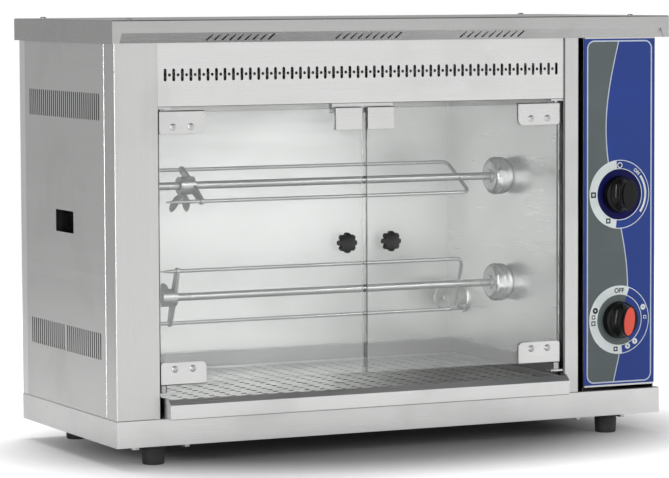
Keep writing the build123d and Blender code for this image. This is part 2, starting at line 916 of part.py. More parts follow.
def heating_elements():
    # Hairpin tubes whose ends pass through the right wall
    left = cavity_left + element_left_gap + element_bend_radius
    right = cavity_right + sheet + element_terminal
    bend = element_bend_radius
    path = Line((right, -bend, 0), (left, -bend, 0))
    path += ThreePointArc((left, -bend, 0), (left - bend, 0, 0), (left, bend, 0))
    path += Line((left, bend, 0), (right, bend, 0))
    start = Plane(origin=(right, -bend, 0), z_dir=(-1, 0, 0))
    hairpin = sweep(start * Circle(element_radius), path=path)
    places = [element_first_setback + i * element_pitch for i in range(element_count)]
    return Part() + [Pos(0, y, element_z) * hairpin for y in places]


def element_hangers():
    runs = element_runs()
    front = runs[0] - hanger_margin
    back = runs[-1] + hanger_margin
    bottom = element_z - hanger_lip
    size = (back - front, cavity_top - bottom)
    plate = Pos((front + back) / 2, (bottom + cavity_top) / 2) * Rectangle(*size)
    plate -= [Pos(y, element_z) * Circle(element_radius + loose_gap) for y in runs]
    hanger = extrude(Plane.YZ * plate, hanger_thickness)
    across = (cavity_left + hanger_inset, cavity_right - hanger_inset)
    return Part() + [Pos(x, 0, 0) * hanger for x in across]


def dial_heights():
    return (upper_dial_z, lower_dial_z)


def control_panel():
    points = [
        (panel_left, panel_flange_depth),
        (panel_left, 0),
        (body_width, 0),
        (body_width, panel_flange_depth),
    ]
    panel = folded_up(points, sheet, base_height, body_top)
    panel -= block(
        (panel_left - sheet, body_width + sheet),
        (-sheet, 2 * sheet),
        (base_height - sheet, base_height + panel_foot_gap),
    )
    hole = Cylinder(spindle_hole, 4 * sheet)
    return panel - [facing_front(hole, panel_centre, 0, z) for z in dial_heights()]


def control_overlay():
    bottom = base_height + overlay_bottom
    top = cover_bottom - overlay_top_gap
    plate = Pos(panel_centre, (bottom + top) / 2) * Rectangle(panel_width - 2 * overlay_margin, top - bottom)
    plate -= [Pos(panel_centre, z) * Circle(spindle_hole) for z in dial_heights()]
    return extrude(Plane.XZ * plate, overlay_thickness)


def dial_knob(z, angle):
    # Round base that draws in to an oval grip with hollow flanks
    foot = overlay_thickness + seam_gap
    base = Cone(dial_knob_radius, dial_knob_top_radius, dial_knob_base)
    base = Pos(0, 0, foot + dial_knob_base / 2) * base
    root = foot + dial_knob_base
    sections = [
        Pos(0, 0, root) * Ellipse(grip_root_width / 2, grip_root_length / 2),
        Pos(0, 0, root + grip_waist_height) * Ellipse(grip_waist_width / 2, grip_waist_length / 2),
        Pos(0, 0, knob_reach - inlay_thickness) * Ellipse(grip_width / 2, grip_length / 2),
    ]
    spindle_bottom = -sheet - spindle_length
    spindle = Pos(0, 0, (spindle_bottom + foot) / 2) * Cylinder(spindle_radius, foot - spindle_bottom)
    return facing_front(Rot(0, 0, angle) * (base + loft(sections) + spindle), panel_centre, 0, z)


def lower_knob_inlay():
    outline = Ellipse(grip_width / 2 - inlay_margin, grip_length / 2 - inlay_margin)
    inlay = extrude(Pos(0, 0, knob_reach - inlay_thickness) * outline, inlay_thickness)
    inlay = Rot(0, 0, lower_knob_angle) * inlay
    return facing_front(inlay, panel_centre, 0, lower_dial_z)


def rotary_switch(z):
    half = switch_size / 2
    body = block(
        (panel_centre - half, panel_centre + half),
        (sheet, sheet + switch_depth),
        (z - half, z + half),
    )
    bore_length = 2 * (spindle_length + 1)
    bore = Cylinder(spindle_radius + running_gap, bore_length)
    return body - facing_front(bore, panel_centre, sheet, z)


def terminal_block():
    back = body_depth - terminal_back_gap
    return block(
        (panel_centre - terminal_length / 2, panel_centre + terminal_length / 2),
        (back - terminal_depth, back),
        (base_height, base_height + terminal_height),
    )


def cable_gland():
    nut = extrude(RegularPolygon(gland_hex_radius, 6), gland_hex_height)
    dome_height = gland_reach - gland_hex_height
    cap = Cone(gland_dome_radius, gland_mouth_radius, dome_height)
    cap = Pos(0, 0, gland_hex_height + dome_height / 2) * cap
    gland = nut + cap - Cylinder(gland_bore, 4 * gland_reach)
    return Pos(panel_centre, body_depth, gland_z) * Rot(-90, 0, 0) * gland


nodes = {
    "base_plinth": base_plinth(),
    "base_bottom": base_bottom(),
    "feet": feet(),
    "base_bolts": base_bolts(),
    "left_front_post": left_front_post(),
    "right_front_post": right_front_post(),
    "left_side_panel": left_side_panel(),
    "right_side_panel": right_side_panel(),
    "back_panel": back_panel(),
    "header_panel": header_panel(),
    "top_cover": top_cover(),
    "top_cover_screws": top_cover_screws(),
    "inner_left_wall": inner_left_wall(),
    "inner_right_wall": inner_right_wall(),
    "inner_back_wall": inner_back_wall(),
    "inner_ceiling": inner_ceiling(),
    "floor_liner": floor_liner(),
    "drip_drawer": drip_drawer(),
    "drip_grid": drip_grid(),
    "pivot_brackets": pivot_brackets(),
    "magnet_catch": magnet_catch(),
    "spit_bushes": spit_bushes(),
    "gearboxes": gearboxes(),
    "motors": motors(),
    "lamp_flange": lamp_flange(),
    "lamp_glass": lamp_glass(),
    "lamp_bulb": lamp_bulb(),
    "lamp_holder": lamp_holder(),
    "heating_elements": heating_elements(),
    "element_hangers": element_hangers(),
    "control_panel": control_panel(),
    "control_overlay": control_overlay(),
    "upper_dial_knob": dial_knob(upper_dial_z, 0),
    "lower_dial_knob": dial_knob(lower_dial_z, lower_knob_angle),
    "lower_knob_inlay": lower_knob_inlay(),
    "upper_switch": rotary_switch(upper_dial_z),
    "lower_switch": rotary_switch(lower_dial_z),
    "terminal_block": terminal_block(),
    "cable_gland": cable_gland(),
}

door_pieces = {
    "door_glass": door_glass(),
    "hinge_clamps": hinge_clamps(),
    "door_screws": door_screws(),
    "hinge_pins": hinge_pins(),
    "catch_plate": catch_plate(),
    "door_knob": door_knob(),
}
for name, piece in door_pieces.items():
    nodes["left_" + name] = piece
    nodes["right_" + name] = mirrored(piece)

spit_places = {
    "upper": (upper_spit_z, upper_spit_angle, upper_fork_start),
    "lower": (lower_spit_z, lower_spit_angle, lower_fork_start),
}
for level, (height, turn, fork_start) in spit_places.items():
    nodes[level + "_drive_bell"] = drive_bell(height, turn)
    nodes[level + "_spit"] = spit(height, turn)
    nodes[level + "_fork"] = fork(height, turn, fork_start)
    nodes[level + "_wing_screw"] = wing_screw(height, turn, fork_start)

os.makedirs("parts", exist_ok=True)
for name, piece in nodes.items():
    export_step(frame_shift * piece, f"parts/{name}.step")
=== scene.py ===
import json
import math

import bpy
from mathutils import Matrix, Vector

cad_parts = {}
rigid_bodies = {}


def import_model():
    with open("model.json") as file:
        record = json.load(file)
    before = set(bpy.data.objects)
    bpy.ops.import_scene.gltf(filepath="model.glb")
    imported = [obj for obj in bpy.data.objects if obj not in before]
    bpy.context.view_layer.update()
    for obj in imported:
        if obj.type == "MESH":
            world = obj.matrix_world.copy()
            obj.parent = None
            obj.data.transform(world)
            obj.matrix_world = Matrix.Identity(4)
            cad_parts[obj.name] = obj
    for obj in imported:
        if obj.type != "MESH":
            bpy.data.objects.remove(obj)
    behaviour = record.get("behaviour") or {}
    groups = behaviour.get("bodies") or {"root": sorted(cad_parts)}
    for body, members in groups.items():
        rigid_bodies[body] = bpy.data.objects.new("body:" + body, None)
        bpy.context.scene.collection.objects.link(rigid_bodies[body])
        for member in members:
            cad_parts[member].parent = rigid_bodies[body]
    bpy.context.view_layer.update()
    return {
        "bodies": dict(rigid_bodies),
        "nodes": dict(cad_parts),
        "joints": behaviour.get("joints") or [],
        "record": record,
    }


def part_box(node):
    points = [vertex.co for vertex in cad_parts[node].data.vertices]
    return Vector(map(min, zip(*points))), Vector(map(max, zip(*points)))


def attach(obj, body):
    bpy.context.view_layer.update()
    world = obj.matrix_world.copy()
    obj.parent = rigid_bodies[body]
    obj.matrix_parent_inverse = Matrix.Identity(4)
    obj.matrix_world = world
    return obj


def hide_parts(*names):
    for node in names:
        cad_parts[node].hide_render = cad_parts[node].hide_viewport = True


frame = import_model()
nodes = frame["nodes"]
scene = bpy.context.scene
scene.view_settings.view_transform = "Standard"
print("frame loaded with", len(nodes), "nodes")

# camera of the photograph, a long lens a little above the oven's middle
viewpoint = {
    "imageWidth": 669,
    "focalPixels": 3304.2,
    "sensorWidth": 36,
    "seesTo": 60,
    "yaw": 25.555,
    "pitch": 4.366,
    "roll": -0.2525,
    "place": (-2.43347, -5.04768, 0.76452),
}


def addCamera():
    lens = bpy.data.cameras.new("ovenCamera")
    lens.sensor_width = viewpoint["sensorWidth"]
    lens.lens = viewpoint["sensorWidth"] * viewpoint["focalPixels"] / viewpoint["imageWidth"]
    lens.clip_end = viewpoint["seesTo"]
    holder = bpy.data.objects.new("ovenCamera", lens)
    scene.collection.objects.link(holder)
    holder.matrix_world = (
        Matrix.Translation(viewpoint["place"])
        @ Matrix.Rotation(-math.radians(viewpoint["yaw"]), 4, "Z")
        @ Matrix.Rotation(math.radians(90 - viewpoint["pitch"]), 4, "X")
        @ Matrix.Rotation(math.radians(viewpoint["roll"]), 4, "Z")
    )
    scene.camera = holder


addCamera()
print("camera placed")


# small helpers for node trees
def addNode(tree, kind, inputs=None, **settings):
    node = tree.nodes.new(kind)
    for name, value in settings.items():
        setattr(node, name, value)
    for name, value in (inputs or {}).items():
        feed(tree, value, node.inputs[name])
    return node


def feed(tree, value, socket):
    if isinstance(value, bpy.types.NodeSocket):
        tree.links.new(value, socket)
    else:
        socket.default_value = value


def calc(tree, operation, first, second=0.0, third=0.0, clamp=False):
    node = tree.nodes.new("ShaderNodeMath")
    node.operation = operation
    node.use_clamp = clamp
    for socket, value in zip(node.inputs, (first, second, third)):
        feed(tree, value, socket)
    return node.outputs[0]


def ramp(tree, value, low, high, toLow=0.0, toHigh=1.0):
    node = addNode(tree, "ShaderNodeMapRange", {
        "Value": value, "From Min": low, "From Max": high, "To Min": toLow, "To Max": toHigh,
    }, interpolation_type="SMOOTHSTEP")
    return node.outputs[0]


def blend(tree, factor, first, second):
    node = addNode(tree, "ShaderNodeMix", data_type="FLOAT")
    for index, value in ((0, factor), (2, first), (3, second)):
        feed(tree, value, node.inputs[index])
    return node.outputs[0]


def blendColour(tree, factor, first, second):
    node = addNode(tree, "ShaderNodeMix", data_type="RGBA")
    for index, value in ((0, factor), (6, first), (7, second)):
        feed(tree, (*value, 1) if isinstance(value, tuple) else value, node.inputs[index])
    return node.outputs[2]


def noise(tree, vector, size, detail, twist=0.0):
    node = addNode(tree, "ShaderNodeTexNoise", {
        "Vector": vector, "Scale": size, "Detail": detail, "Distortion": twist})
    return node.outputs[0]


def splitAxes(tree, vector):
    return addNode(tree, "ShaderNodeSeparateXYZ", {"Vector": vector}).outputs


def linear(level):
    # one channel of a screen colour, 0 to 255, as light
    return ((level / 255 + 0.055) / 1.055) ** 2.4 if level > 10 else level / 3294.6


def screenColour(red, green, blue):
    return linear(red), linear(green), linear(blue)


# studio: white to the eye, a bright front and a dim ceiling to the metal
studio = {
    "fill": 0.33,
    "brightSide": (0.62, -0.78, 0.0),
    "bright": 1.0,
    "dim": 0.50,
    "ceiling": 0.18,
    "ceilingFrom": 0.22,
    "ceilingTo": 0.62,
    "turnFrom": -0.9,
    "turnTo": 0.7,
    "anyBounce": 0.5,
}


def buildWorld():
    world = bpy.data.worlds.new("studioWorld")
    scene.world = world
    world.use_nodes = True
    tree = world.node_tree
    tree.nodes.clear()
    rays = addNode(tree, "ShaderNodeLightPath")
    coords = addNode(tree, "ShaderNodeTexCoord")
    facing = addNode(tree, "ShaderNodeVectorMath", operation="DOT_PRODUCT")
    feed(tree, coords.outputs["Generated"], facing.inputs[0])
    facing.inputs[1].default_value = studio["brightSide"]
    height = splitAxes(tree, coords.outputs["Generated"])["Z"]
    around = ramp(tree, facing.outputs["Value"], studio["turnFrom"], studio["turnTo"],
                  studio["dim"], studio["bright"])
    above = ramp(tree, height, studio["ceilingFrom"], studio["ceilingTo"])
    metalLight = blend(tree, above, around, studio["ceiling"])
    bounced = calc(tree, "GREATER_THAN", rays.outputs["Glossy Depth"], studio["anyBounce"])
    scattered = calc(tree, "GREATER_THAN", rays.outputs["Diffuse Depth"], studio["anyBounce"])
    seen = calc(tree, "MAXIMUM", rays.outputs["Is Camera Ray"], rays.outputs["Is Transmission Ray"])
    seen = calc(tree, "SUBTRACT", seen, calc(tree, "MAXIMUM", bounced, scattered), clamp=True)
    glossy = calc(tree, "MAXIMUM", rays.outputs["Is Glossy Ray"], bounced)
    mirrored = calc(tree, "SUBTRACT", glossy, scattered, clamp=True)
    lightOnly = blend(tree, mirrored, studio["fill"], metalLight)
    level = blend(tree, seen, lightOnly, 1.0)
    background = addNode(tree, "ShaderNodeBackground", {"Color": (1.0, 1.0, 1.0, 1.0), "Strength": level})
    output = addNode(tree, "ShaderNodeOutputWorld")
    tree.links.new(background.outputs[0], output.inputs["Surface"])


softboxes = {
    "overheadBox": {
        "place": (-0.3, 0.75, 2.6), "aim": (0.0, 0.0, 0.2), "size": (2.2, 1.6), "power": 52,
        "mirrored": False,
    },
    "frontBox": {
        "place": (1.5, -3.2, 1.5), "aim": (0.1, 0.0, 0.35), "size": (1.6, 1.8), "power": 33,
        "mirrored": False,
    },
    "leftStrip": {
        "place": (-1.54, -0.78, 1.0), "aim": (0.0, -0.3, 1.0), "size": (0.16, 2.0), "power": 13,
        "mirrored": True, "lights": False,
    },
}


def addSoftboxes():
    for name, box in softboxes.items():
        lamp = bpy.data.lights.new(name, "AREA")
        lamp.shape = "RECTANGLE"
        lamp.size, lamp.size_y = box["size"]
        lamp.energy = box["power"]
        holder = bpy.data.objects.new(name, lamp)
        scene.collection.objects.link(holder)
        place = Vector(box["place"])
        turn = (Vector(box["aim"]) - place).to_track_quat("-Z", "Y")
        holder.matrix_world = Matrix.Translation(place) @ turn.to_matrix().to_4x4()
        holder.visible_glossy = box["mirrored"]
        holder.visible_diffuse = box.get("lights", True)
        holder.visible_camera = False


# white paper with a painted shadow: it is darker and unlit near the oven, where its shadow lies
floorSheet = {
    "size": 6.0,
    "below": 0.0005,
    "oval": (0.72, 1.0, 0.0),
    "paintedShadowPaper": 0.50,
    "farPaper": 0.80,
    "nearGlow": 0.0,
    "farGlow": 0.78,
    "glowFrom": 0.25,
    "glowTo": 0.62,
    "frontMirror": 0.55,
    "backMirror": 0.12,
    "mirrorFrom": -0.5,
    "mirrorTo": 0.4,
    "speckle": 40.0,
    "speckleFrom": 0.3,
    "speckleTo": 0.7,
    "speckleTones": (0.985, 1.015),
}


def addFloor():
    clearSelection()
    bpy.ops.mesh.primitive_plane_add(size=floorSheet["size"], location=(0, 0, -floorSheet["below"]))
    floor = bpy.context.object
    floor.name = "studioFloor"
    bpy.ops.object.transform_apply(location=True, rotation=True, scale=True)
    paper = bpy.data.materials.new("floorPaper")
    paper.use_nodes = True
    tree = paper.node_tree
    tree.nodes.clear()
    rays = addNode(tree, "ShaderNodeLightPath")
    coords = addNode(tree, "ShaderNodeTexCoord")
    place = coords.outputs["Object"]
    flat = addNode(tree, "ShaderNodeMapping", {"Vector": place, "Scale": floorSheet["oval"]})
    away = addNode(tree, "ShaderNodeVectorMath", operation="LENGTH")
    feed(tree, flat.outputs[0], away.inputs[0])
    zone = away.outputs["Value"], floorSheet["glowFrom"], floorSheet["glowTo"]
    glow = ramp(tree, *zone, floorSheet["nearGlow"], floorSheet["farGlow"])
    seen = calc(tree, "MAXIMUM", rays.outputs["Is Camera Ray"], rays.outputs["Is Transmission Ray"])
    mirrorGlow = ramp(tree, splitAxes(tree, place)["Y"], floorSheet["mirrorFrom"], floorSheet["mirrorTo"],
                      floorSheet["frontMirror"], floorSheet["backMirror"])
    mirrored = calc(tree, "MULTIPLY", rays.outputs["Is Glossy Ray"], mirrorGlow)
    seen = calc(tree, "MAXIMUM", seen, mirrored)
    speckle = addNode(tree, "ShaderNodeTexNoise", {"Vector": place, "Scale": floorSheet["speckle"]})
    # painted shadow: the paper is darker near the oven
    paperWithPaintedShadow = ramp(tree, *zone, floorSheet["paintedShadowPaper"], floorSheet["farPaper"])
    speckled = ramp(tree, speckle.outputs[0], floorSheet["speckleFrom"], floorSheet["speckleTo"],
                    *floorSheet["speckleTones"])
    tone = calc(tree, "MULTIPLY", paperWithPaintedShadow, speckled)
    mat = addNode(tree, "ShaderNodeBsdfDiffuse", {"Color": tone})
    light = addNode(tree, "ShaderNodeEmission", {"Strength": calc(tree, "MULTIPLY", glow, seen)})
    both = addNode(tree, "ShaderNodeAddShader")
    tree.links.new(mat.outputs[0], both.inputs[0])
    tree.links.new(light.outputs[0], both.inputs[1])
    output = addNode(tree, "ShaderNodeOutputMaterial")
    tree.links.new(both.outputs[0], output.inputs["Surface"])
    floor.data.materials.append(paper)


# small helpers for modelling
def clearSelection():
    if bpy.context.object and bpy.context.object.mode != "OBJECT":
        bpy.ops.object.mode_set(mode="OBJECT")
    bpy.ops.object.select_all(action="DESELECT")


def work(piece):
    clearSelection()
    piece.select_set(True)
    bpy.context.view_layer.objects.active = piece


def pickEdges(piece, test):
    # leaves the piece in edit mode with only the wanted edges selected
    work(piece)
    bpy.ops.object.mode_set(mode="EDIT")
    bpy.ops.mesh.select_mode(type="EDGE")
    bpy.ops.mesh.select_all(action="DESELECT")
    bpy.ops.object.mode_set(mode="OBJECT")
    points = piece.data.vertices
    for edge in piece.data.edges:
        edge.select = all(test(points[i].co) for i in edge.vertices)
    bpy.ops.object.mode_set(mode="EDIT")


def done():
    bpy.ops.object.mode_set(mode="OBJECT")


def settle(piece, name, body, finish):
    # place goes into the mesh, the object rests at the origin and rides on its body
    work(piece)
    bpy.ops.object.transform_apply(location=True, rotation=True, scale=True)
    piece.name = name
    piece.data.name = name
    piece.data.materials.clear()
    piece.data.materials.append(finish)
    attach(piece, body)


buildWorld()
addSoftboxes()
addFloor()
print("studio built")


# shared effects, each a node group placed in the materials that need it
def newGroup(name, inputs, outputs):
    group = bpy.data.node_groups.new(name, "ShaderNodeTree")
    for side, sockets in (("INPUT", inputs), ("OUTPUT", outputs)):
        for label, kind in sockets.items():
            group.interface.new_socket(name=label, in_out=side, socket_type="NodeSocket" + kind)
    return group, group.nodes.new("NodeGroupInput").outputs, group.nodes.new("NodeGroupOutput").inputs


# fine parallel lines of a sanding belt, with broader bands between them
brushedGrain = {
    "fineSize": 1.0,
    "fineDetail": 3.0,
    "fineShare": 0.6,
    "bandSize": 0.11,
    "bandDetail": 2.0,
    "bandShare": 0.4,
    "middle": 0.5,
}


def brushedGrainGroup():
    group, given, put = newGroup(
        "brushedGrain",
        {"Coords": "Vector", "Stretch": "Vector", "Contrast": "Float"},
        {"Grain": "Float", "Tone": "Float"},
    )
    lines = addNode(group, "ShaderNodeVectorMath", operation="MULTIPLY")
    feed(group, given["Coords"], lines.inputs[0])
    feed(group, given["Stretch"], lines.inputs[1])
    fine = noise(group, lines.outputs[0], brushedGrain["fineSize"], brushedGrain["fineDetail"])
    bands = noise(group, lines.outputs[0], brushedGrain["bandSize"], brushedGrain["bandDetail"])
    bands = calc(group, "MULTIPLY", bands, brushedGrain["bandShare"])
    grain = calc(group, "MULTIPLY_ADD", fine, brushedGrain["fineShare"], bands)
    swing = calc(group, "SUBTRACT", grain, brushedGrain["middle"])
    swing = calc(group, "MULTIPLY", swing, given["Contrast"])
    feed(group, grain, put["Grain"])
    feed(group, calc(group, "ADD", swing, 1.0), put["Tone"])
    return group


# wiped smears and a few short scuffs left by cleaning
handlingMarks = {
    "smearDetail": 4.0,
    "smearTwist": 0.6,
    "smearFrom": 0.42,
    "smearTo": 0.72,
    "scuffTurn": (0.5, 0.4, 0.7),
    "scuffStretch": (14.0, 260.0, 30.0),
    "scuffDetail": 1.0,
    "scuffFrom": 0.70,
    "scuffTo": 0.78,
}


def handlingMarksGroup():
    group, given, put = newGroup(
        "handlingMarks", {"Coords": "Vector", "Size": "Float"}, {"Smear": "Float", "Scuff": "Float"}
    )
    look = handlingMarks
    cloud = noise(group, given["Coords"], given["Size"], look["smearDetail"], look["smearTwist"])
    feed(group, ramp(group, cloud, look["smearFrom"], look["smearTo"]), put["Smear"])
    askew = addNode(group, "ShaderNodeMapping", {
        "Vector": given["Coords"], "Rotation": look["scuffTurn"], "Scale": look["scuffStretch"]})
    scuffs = noise(group, askew.outputs[0], 1.0, look["scuffDetail"])
    feed(group, ramp(group, scuffs, look["scuffFrom"], look["scuffTo"]), put["Scuff"])
    return group


# slow waviness of rolled sheet, which bends its reflections
sheetWave = {"detail": 1.0}


def sheetWaveGroup():
    group, given, put = newGroup("sheetWave", {"Coords": "Vector", "Size": "Float"}, {"Wave": "Float"})
    feed(group, noise(group, given["Coords"], given["Size"], sheetWave["detail"]), put["Wave"])
    return group


# faint orange peel of moulded plastic and paint, with broader worn patches
mouldedSkin = {"peelDetail": 2.0, "patchSize": 28.0, "patchDetail": 3.0, "patchFrom": 0.35, "patchTo": 0.7}


def mouldedSkinGroup():
    group, given, put = newGroup(
        "mouldedSkin", {"Coords": "Vector", "Size": "Float"}, {"Skin": "Float", "Patch": "Float"}
    )
    look = mouldedSkin
    patch = noise(group, given["Coords"], look["patchSize"], look["patchDetail"])
    feed(group, noise(group, given["Coords"], given["Size"], look["peelDetail"]), put["Skin"])
    feed(group, ramp(group, patch, look["patchFrom"], look["patchTo"]), put["Patch"])
    return group


groups = {
    "grain": brushedGrainGroup(),
    "marks": handlingMarksGroup(),
    "wave": sheetWaveGroup(),
    "skin": mouldedSkinGroup(),
}
print("effects built:", ", ".join(groups))


def effect(tree, name, **inputs):
    node = tree.nodes.new("ShaderNodeGroup")
    node.node_tree = groups[name]
    for label, value in inputs.items():
        feed(tree, value, node.inputs[label])
    return node.outputs


def newMaterial(name):
    material = bpy.data.materials.new(name)
    material.use_nodes = True
    tree = material.node_tree
    tree.nodes.clear()
    shader = addNode(tree, "ShaderNodeBsdfPrincipled")
    output = addNode(tree, "ShaderNodeOutputMaterial")
    tree.links.new(shader.outputs[0], output.inputs["Surface"])
    coords = addNode(tree, "ShaderNodeTexCoord").outputs["Object"]
    return material, tree, shader, coords


def tinted(tree, colour, tone):
    # a colour made lighter and darker by a tone around 1
    node = addNode(tree, "ShaderNodeVectorMath", operation="SCALE")
    feed(tree, colour, node.inputs[0])
    feed(tree, tone, node.inputs["Scale"])
    return node.outputs[0]


steelSheets = {
    "steelAcross": {
        "stretch": (7.0, 700.0, 700.0), "colour": (0.62, 0.62, 0.615), "rough": 0.30,
        "contrast": 0.20, "wave": 0.20,
    },
    "steelFront": {
        "stretch": (7.0, 700.0, 700.0), "colour": (0.69, 0.69, 0.685), "rough": 0.30,
        "contrast": 0.20, "wave": 0.20,
    },
    # painted shade: the lid is the same steel as the other sheets, darkened in colour
    "steelLidPaintedShade": {
        "stretch": (7.0, 700.0, 700.0), "colour": (0.47, 0.47, 0.466), "rough": 0.28,
        "contrast": 0.22, "wave": 0.20,
    },
    # painted light: the back sheet is the same steel as the others, made lighter in colour
    "steelBack": {
        "stretch": (700.0, 700.0, 7.0), "colour": (0.80, 0.80, 0.795), "rough": 0.34,
        "contrast": 0.18, "wave": 0.15,
    },
    "steelUpright": {
        "stretch": (700.0, 700.0, 7.0), "colour": (0.59, 0.59, 0.585), "rough": 0.30,
        "contrast": 0.18, "wave": 0.15,
    },
    "steelAlong": {
        "stretch": (700.0, 7.0, 700.0), "colour": (0.62, 0.62, 0.615), "rough": 0.32,
        "contrast": 0.20, "wave": 0.25,
    },
    "steelSatin": {
        "stretch": (9.0, 520.0, 520.0), "colour": (0.89, 0.89, 0.88), "rough": 0.33,
        "contrast": 0.05, "wave": 0.0, "bump": 0.012,
    },
    "steelDull": {
        "stretch": (9.0, 520.0, 520.0), "colour": (0.37, 0.37, 0.366), "rough": 0.36,
        "contrast": 0.16, "wave": 0.20,
    },
    "steelGrid": {
        "stretch": (9.0, 520.0, 520.0), "colour": (0.42, 0.42, 0.416), "rough": 0.32,
        "contrast": 0.16, "wave": 0.20,
    },
    "steelClamp": {
        "stretch": (9.0, 620.0, 620.0), "colour": (0.66, 0.66, 0.655), "rough": 0.28,
        "contrast": 0.14, "wave": 0.10,
    },
    "steelMirror": {
        "stretch": (420.0, 12.0, 420.0), "colour": (0.94, 0.94, 0.935), "rough": 0.30,
        "contrast": 0.04, "wave": 0.0, "bump": 0.001,
    },
    # the rim of the two below is painted shade at the outline, in place of a reflection
    "steelShaft": {
        "stretch": (900.0, 60.0, 60.0), "colour": (0.44, 0.44, 0.436), "rough": 0.30,
        "contrast": 0.14, "wave": 0.0, "rim": 0.35,
    },
    "chromeDome": {
        "stretch": (500.0, 40.0, 40.0), "colour": (0.74, 0.74, 0.74), "rough": 0.12,
        "contrast": 0.05, "wave": 0.0, "rim": 0.18,
    },
    "zincPlate": {
        "stretch": (60.0, 60.0, 60.0), "colour": (0.60, 0.61, 0.62), "rough": 0.34,
        "contrast": 0.20, "wave": 0.05,
    },
    "castAlloy": {
        "stretch": (240.0, 240.0, 240.0), "colour": (0.56, 0.56, 0.57), "rough": 0.48,
        "contrast": 0.25, "wave": 0.1,
    },
    "brassTurned": {
        "stretch": (700.0, 50.0, 50.0), "colour": (0.78, 0.60, 0.30), "rough": 0.26,
        "contrast": 0.16, "wave": 0.0,
    },
    "elementSteel": {
        "stretch": (30.0, 300.0, 300.0), "colour": (0.26, 0.255, 0.25), "rough": 0.42,
        "contrast": 0.30, "wave": 0.1,
    },
}

sharpFade = 0.0005
# painted shade: the faces turned to the lagging, two folds that lie in a gap, the top of the back wall under
# the header and the far corner of the right wall are darkened in their colour
shadedFaces = {
    # painted shade behind the vents and slots: side sheets, header, inner walls and ceiling are nearly black
    # on the faces turned to the lagging
    "steelLeftSide": {
        "of": "steelAlong", "node": "left_side_panel", "axis": 0, "corner": 0, "inset": 0.0006,
        "way": 1, "level": 0.08,
    },
    "steelRightSide": {
        "of": "steelAlong", "node": "right_side_panel", "axis": 0, "corner": 1, "inset": -0.0006,
        "way": -1, "level": 0.08,
    },
    "steelHeader": {
        "of": "steelFront", "node": "header_panel", "axis": 1, "corner": 0, "inset": 0.0006,
        "way": 1, "level": 0.08,
    },
    "steelLeftWall": {
        "of": "steelMirror", "node": "inner_left_wall", "axis": 0, "corner": 1, "inset": -0.0006,
        "way": -1, "level": 0.08,
    },
    "steelRightWall": {
        "of": "steelMirror", "node": "inner_right_wall", "axis": 0, "corner": 0, "inset": 0.0006,
        "way": 1, "level": 0.08,
    },
    # painted shade: the right wall grows darker towards the far corner
    "steelRightCorner": {
        "of": "steelRightWall", "node": "inner_back_wall", "axis": 1, "corner": 0, "inset": -0.12,
        "way": 1, "over": 0.12, "level": 0.80,
    },
    "steelCeiling": {
        "of": "steelSatin", "node": "inner_ceiling", "axis": 2, "corner": 0, "inset": 0.0006,
        "way": 1, "level": 0.06,
    },
    # painted shade: the back wall goes nearly black at its top, under the header
    "steelBackWall": {
        "of": "steelSatin", "node": "header_panel", "axis": 2, "corner": 0, "inset": -0.022,
        "way": 1, "over": 0.03, "level": 0.05,
    },
    # painted shade: the left folds of the right post and of the control panel, which lie in a gap, are
    # darkened
    "steelRightPost": {
        "of": "steelUpright", "node": "right_front_post", "axis": 0, "corner": 0, "inset": 0.0030,
        "way": -1, "level": 0.22,
    },
    "steelPanel": {
        "of": "steelAcross", "node": "control_panel", "axis": 0, "corner": 0, "inset": 0.0030,
        "way": -1, "level": 0.12,
    },
}
for name, face in shadedFaces.items():
    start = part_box(face["node"])[face["corner"]][face["axis"]] + face["inset"]
    end = start + face["way"] * face.get("over", sharpFade)
    base = steelSheets[face["of"]]
    shades = base.get("shades", []) + [(face["axis"], start, end, face["level"])]
    steelSheets[name] = {**base, "shades": shades}

# what all the metals share
steelSurface = {
    "markSize": 7.0,
    "waveSize": 5.0,
    "waveDepth": 0.002,
    "grainDepth": 0.0003,
    "bump": 0.10,
    "wiped": 1.015,
    "smeared": 0.965,
    "grainFrom": 0.25,
    "grainTo": 0.75,
    "smoother": -0.05,
    "rougher": 0.06,
    "smearRough": 0.05,
    "rimFrom": 0.25,
    "rimTo": 0.8,
}


